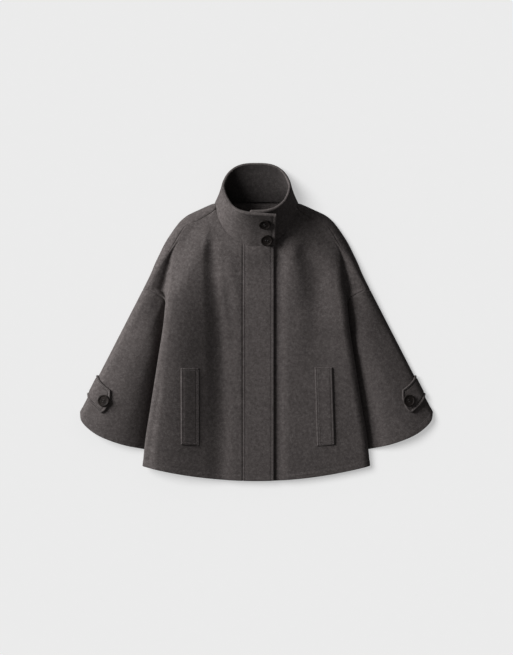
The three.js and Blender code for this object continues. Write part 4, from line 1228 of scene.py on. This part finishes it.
def button(name, seat, normal, shank, spin):
    """A turned disc with a raised rim, a dished middle, four holes and thread through them"""
    rings = [0, 0.8, *np.arange(1.2, 5.0, 0.22), 5.4, 6.2, 7.2, 8.4, 9.4, 10.2, 10.6, 11, 11.4, 12,
             12.6, 13.2, 13.7, 14.05, 14.2, 14.2, 14.05, 13.4]
    profile_x = [0, 5, 9.6, 10.4, 11.2, 12.2, 13.2, 14.0, 14.2]
    profile_z = [2.5, 2.55, 2.75, 3.3, 3.85, 4.0, 3.85, 3.2, 2.4]
    heights = [float(np.interp(r, profile_x, profile_z)) for r in rings[:-3]]
    heights += [1.4, 0.5, 0.0]
    sides = BUTTON_SIDES
    angle = 2 * np.pi * np.arange(sides) / sides
    grid = np.stack([
        stack(r * np.cos(angle), r * np.sin(angle), np.full(sides, h))
        for r, h in zip(rings, heights)
    ])
    spots = [(HOLE_SPOT * sx, HOLE_SPOT * sy) for sx in (-1, 1) for sy in (-1, 1)]
    top = len(rings) - 6
    for hx, hy in spots:
        away = np.hypot(grid[:top, :, 0] - hx, grid[:top, :, 1] - hy)
        grid[:top, :, 2] -= HOLE_DEPTH * (1 - ease(HOLE_RADIUS - 0.35, HOLE_RADIUS + 0.1, away))
    grid = np.concatenate([grid, grid[:, :1]], 1)
    grid = np.concatenate([grid, stack(np.zeros(sides + 1), np.zeros(sides + 1), 0.0)[None]])
    turn = Vector((0, 0, 1)).rotation_difference(Vector(normal)).to_matrix()
    matrix = np.array(turn)
    c, s = math.cos(spin), math.sin(spin)
    matrix = matrix @ np.array([[c, -s, 0], [s, c, 0], [0, 0, 1]])
    place = np.array(seat) + np.array(normal) * shank
    piece = Piece().add(grid @ matrix.T + place, True).weld()
    body = make_mesh(name + "_horn", piece.points, piece.quads, HORN)
    lines = []
    for hx, hy, ex, ey in [(-1, -1, 1, -1), (-1, 1, 1, 1)]:
        for shift in (-0.32, 0.32):
            start = np.array([hx * HOLE_SPOT, hy * HOLE_SPOT + shift, 2.0])
            end = np.array([ex * HOLE_SPOT, ey * HOLE_SPOT + shift, 2.0])
            t = np.linspace(0, 1, 9)[:, None]
            rise = BUTTON_THREAD_RISE * np.sin(np.pi * t) ** 0.4
            line = mix(start, end, t) + np.array([0, 0, 1.0]) * rise
            lines.append(tube(line @ matrix.T + place, BUTTON_THREAD_RADIUS))
    cut = stitch_mesh(name + "_thread", lines, BUTTON_THREAD)
    return body, cut


def tube(line, radius, sides=7):
    ahead = unit(np.gradient(line, axis=0))
    helper = np.array([0.0, 0.0, 1.0])
    side = unit(np.cross(ahead, helper) + 1e-6)
    up = np.cross(side, ahead)
    angle = 2 * np.pi * np.arange(sides) / sides
    rings = (
        line[:, None]
        + side[:, None] * (radius * np.cos(angle))[None, :, None]
        + up[:, None] * (radius * np.sin(angle))[None, :, None]
    )
    return rings.reshape(-1, 3), np.array(tube_faces(len(line), sides))[:, ::-1]


def collar_point(turn, rise):
    return collar_at(np.array([turn]), np.array([rise]))[0]


buttons = {}
for i, (bx, by) in enumerate(COLLAR_BUTTONS):
    turn = 360 + float(turn_of_x(bx))
    rises = np.linspace(0, 1, 401)
    heights = collar_at(np.full(401, turn), rises)[:, 1]
    rise = float(np.interp(by, heights, rises))
    seat_point = collar_point(turn, rise)
    around = collar_point(turn + 1, rise) - collar_point(turn - 1, rise)
    upward = collar_point(turn, rise + 0.01) - collar_point(turn, rise - 0.01)
    facing = unit(np.cross(around, upward))
    key = "collar_button_" + str(i + 1)
    buttons[key] = button(key, seat_point, facing, 1.0, 0.3 + i)
buttons["sleeve_button_left"] = button(
    "sleeve_button_left", left_button_seat, left_button_up, 0.4, 0.5
)
buttons["sleeve_button_right"] = button(
    "sleeve_button_right", right_button_seat, right_button_up, 0.4, -0.4
)


# Topstitching
placket_normals = grid_normals(placket_points)
threads = {
    "placket_stitches": [
        stitches(*line_beside(placket_points, placket_normals, "first_column", 6)),
        stitches(*line_beside(placket_points, placket_normals, "last_column", 6)),
    ],
}
for name in ("pocket_welt_right", "pocket_welt_left"):
    threads[name + "_stitches"] = welt_threads[name]
threads["sleeve_tab_left_stitches"] = left_tab_lines
threads["sleeve_tab_right_stitches"] = right_tab_lines
for name, points, turned in [
    ("cuff_left_stitches", left_sleeve_points, False),
    ("cuff_right_stitches", right_sleeve_points, True),
]:
    line = stitches(*line_beside(points, grid_normals(points), "last_row", CUFF_LINE))
    threads[name] = [mirrored_stitches(line) if turned else line]
right_normals, left_normals = -grid_normals(right_grid), grid_normals(left_grid)
threads["hem_stitches"] = [
    stitches(*line_beside(right_grid, right_normals, "first_row", HEM_LINE)),
    stitches(*line_beside(left_grid[:, 18:], left_normals[:, 18:], "first_row", HEM_LINE)),
    stitches(*line_beside(placket_points, placket_normals, "first_row", HEM_LINE)),
]

# ---------------------------------------------------------------- bodies
sewn = {}
for name, lines in threads.items():
    at_edge = name.startswith(("hem", "cuff"))
    sewn[name] = stitch_mesh(name, lines, HEM_THREAD if at_edge else THREAD)
    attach(sewn[name], "root")
for node, piece in made.items():
    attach(piece, "root")
    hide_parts(node)
for node, (body, cut) in buttons.items():
    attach(body, "root")
    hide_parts(node)
    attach(cut, "root")

# ---------------------------------------------------------------- stage, light, camera
floor_mesh = bpy.data.meshes.new("floor")
half = 12.0
floor_mesh.from_pydata(
    [(-half, -half, 0), (half, -half, 0), (half, half, 0), (-half, half, 0)], [], [(0, 1, 2, 3)]
)
floor = bpy.data.objects.new("floor", floor_mesh)
bpy.context.scene.collection.objects.link(floor)
floor.location.z = -0.0004
floor_mesh.materials.append(paper("pale_floor"))
floor.visible_diffuse = False
floor.visible_glossy = False
floor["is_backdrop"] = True

AMBIENT = 0.14
KEY_ELEVATION = math.radians(24.5)
KEY_AZIMUTH = math.radians(157)  # where the light comes from, counted from +X
KEY_DISTANCE = 3.3
KEY_SIDE = 1.7
KEY_POWER = 20.2
FLOOR_KEY_ELEVATION = math.radians(52)
FLOOR_KEY_SHARE = 0.62
FLOOR_KEY_TURN = 0.1  # radians, so that the shadow falls a little lower
FLOOR_KEY_SPREAD = math.radians(34)
FLOOR_KEY_DISTANCE = 3


def toward(elevation, azimuth):
    return Vector((
        math.cos(elevation) * math.cos(azimuth),
        math.cos(elevation) * math.sin(azimuth),
        math.sin(elevation),
    ))


def add_light(name, kind, direction, distance, receivers, **settings):
    """A light that shines from a direction on some objects only"""
    data = bpy.data.lights.new(name, kind)
    for key, value in settings.items():
        setattr(data, key, value)
    light = bpy.data.objects.new(name, data)
    light.location = direction * distance
    light.rotation_mode = "QUATERNION"
    light.rotation_quaternion = direction.to_track_quat("Z", "Y")
    bpy.context.scene.collection.objects.link(light)
    light.light_linking.receiver_collection = receivers


coat_set = bpy.data.collections.new("coat_pieces")
floor_set = bpy.data.collections.new("floor_piece")
floor_set.objects.link(floor)
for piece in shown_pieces():
    coat_set.objects.link(piece)
add_light("key", "AREA", toward(KEY_ELEVATION, KEY_AZIMUTH), KEY_DISTANCE, coat_set,
          shape="SQUARE", size=KEY_SIDE, energy=KEY_POWER * KEY_DISTANCE**2)
floor_energy = FLOOR_KEY_SHARE * math.pi / math.sin(FLOOR_KEY_ELEVATION)
add_light("floor_key", "SUN", toward(FLOOR_KEY_ELEVATION, KEY_AZIMUTH - FLOOR_KEY_TURN),
          FLOOR_KEY_DISTANCE, floor_set, energy=floor_energy, angle=FLOOR_KEY_SPREAD)
world = bpy.data.worlds.new("studio")
world.use_nodes = True
world.node_tree.nodes["Background"].inputs["Color"].default_value = (1, 1, 1, 1)
world.node_tree.nodes["Background"].inputs["Strength"].default_value = AMBIENT
bpy.context.scene.world = world
bpy.context.scene.view_settings.view_transform = "Standard"

CAMERA_HEIGHT = 6.0
VIEW_CENTRE = (0.0, -0.0137)
VIEW_HEIGHT = 1.572  # metres of floor from the picture's top to its bottom
camera_data = bpy.data.cameras.new("camera")
camera_data.sensor_width = 36
camera_data.lens = 36 * CAMERA_HEIGHT / VIEW_HEIGHT
camera_data.clip_end = 100
camera = bpy.data.objects.new("camera", camera_data)
camera.location = (*VIEW_CENTRE, CAMERA_HEIGHT)
bpy.context.scene.collection.objects.link(camera)
bpy.context.scene.camera = camera
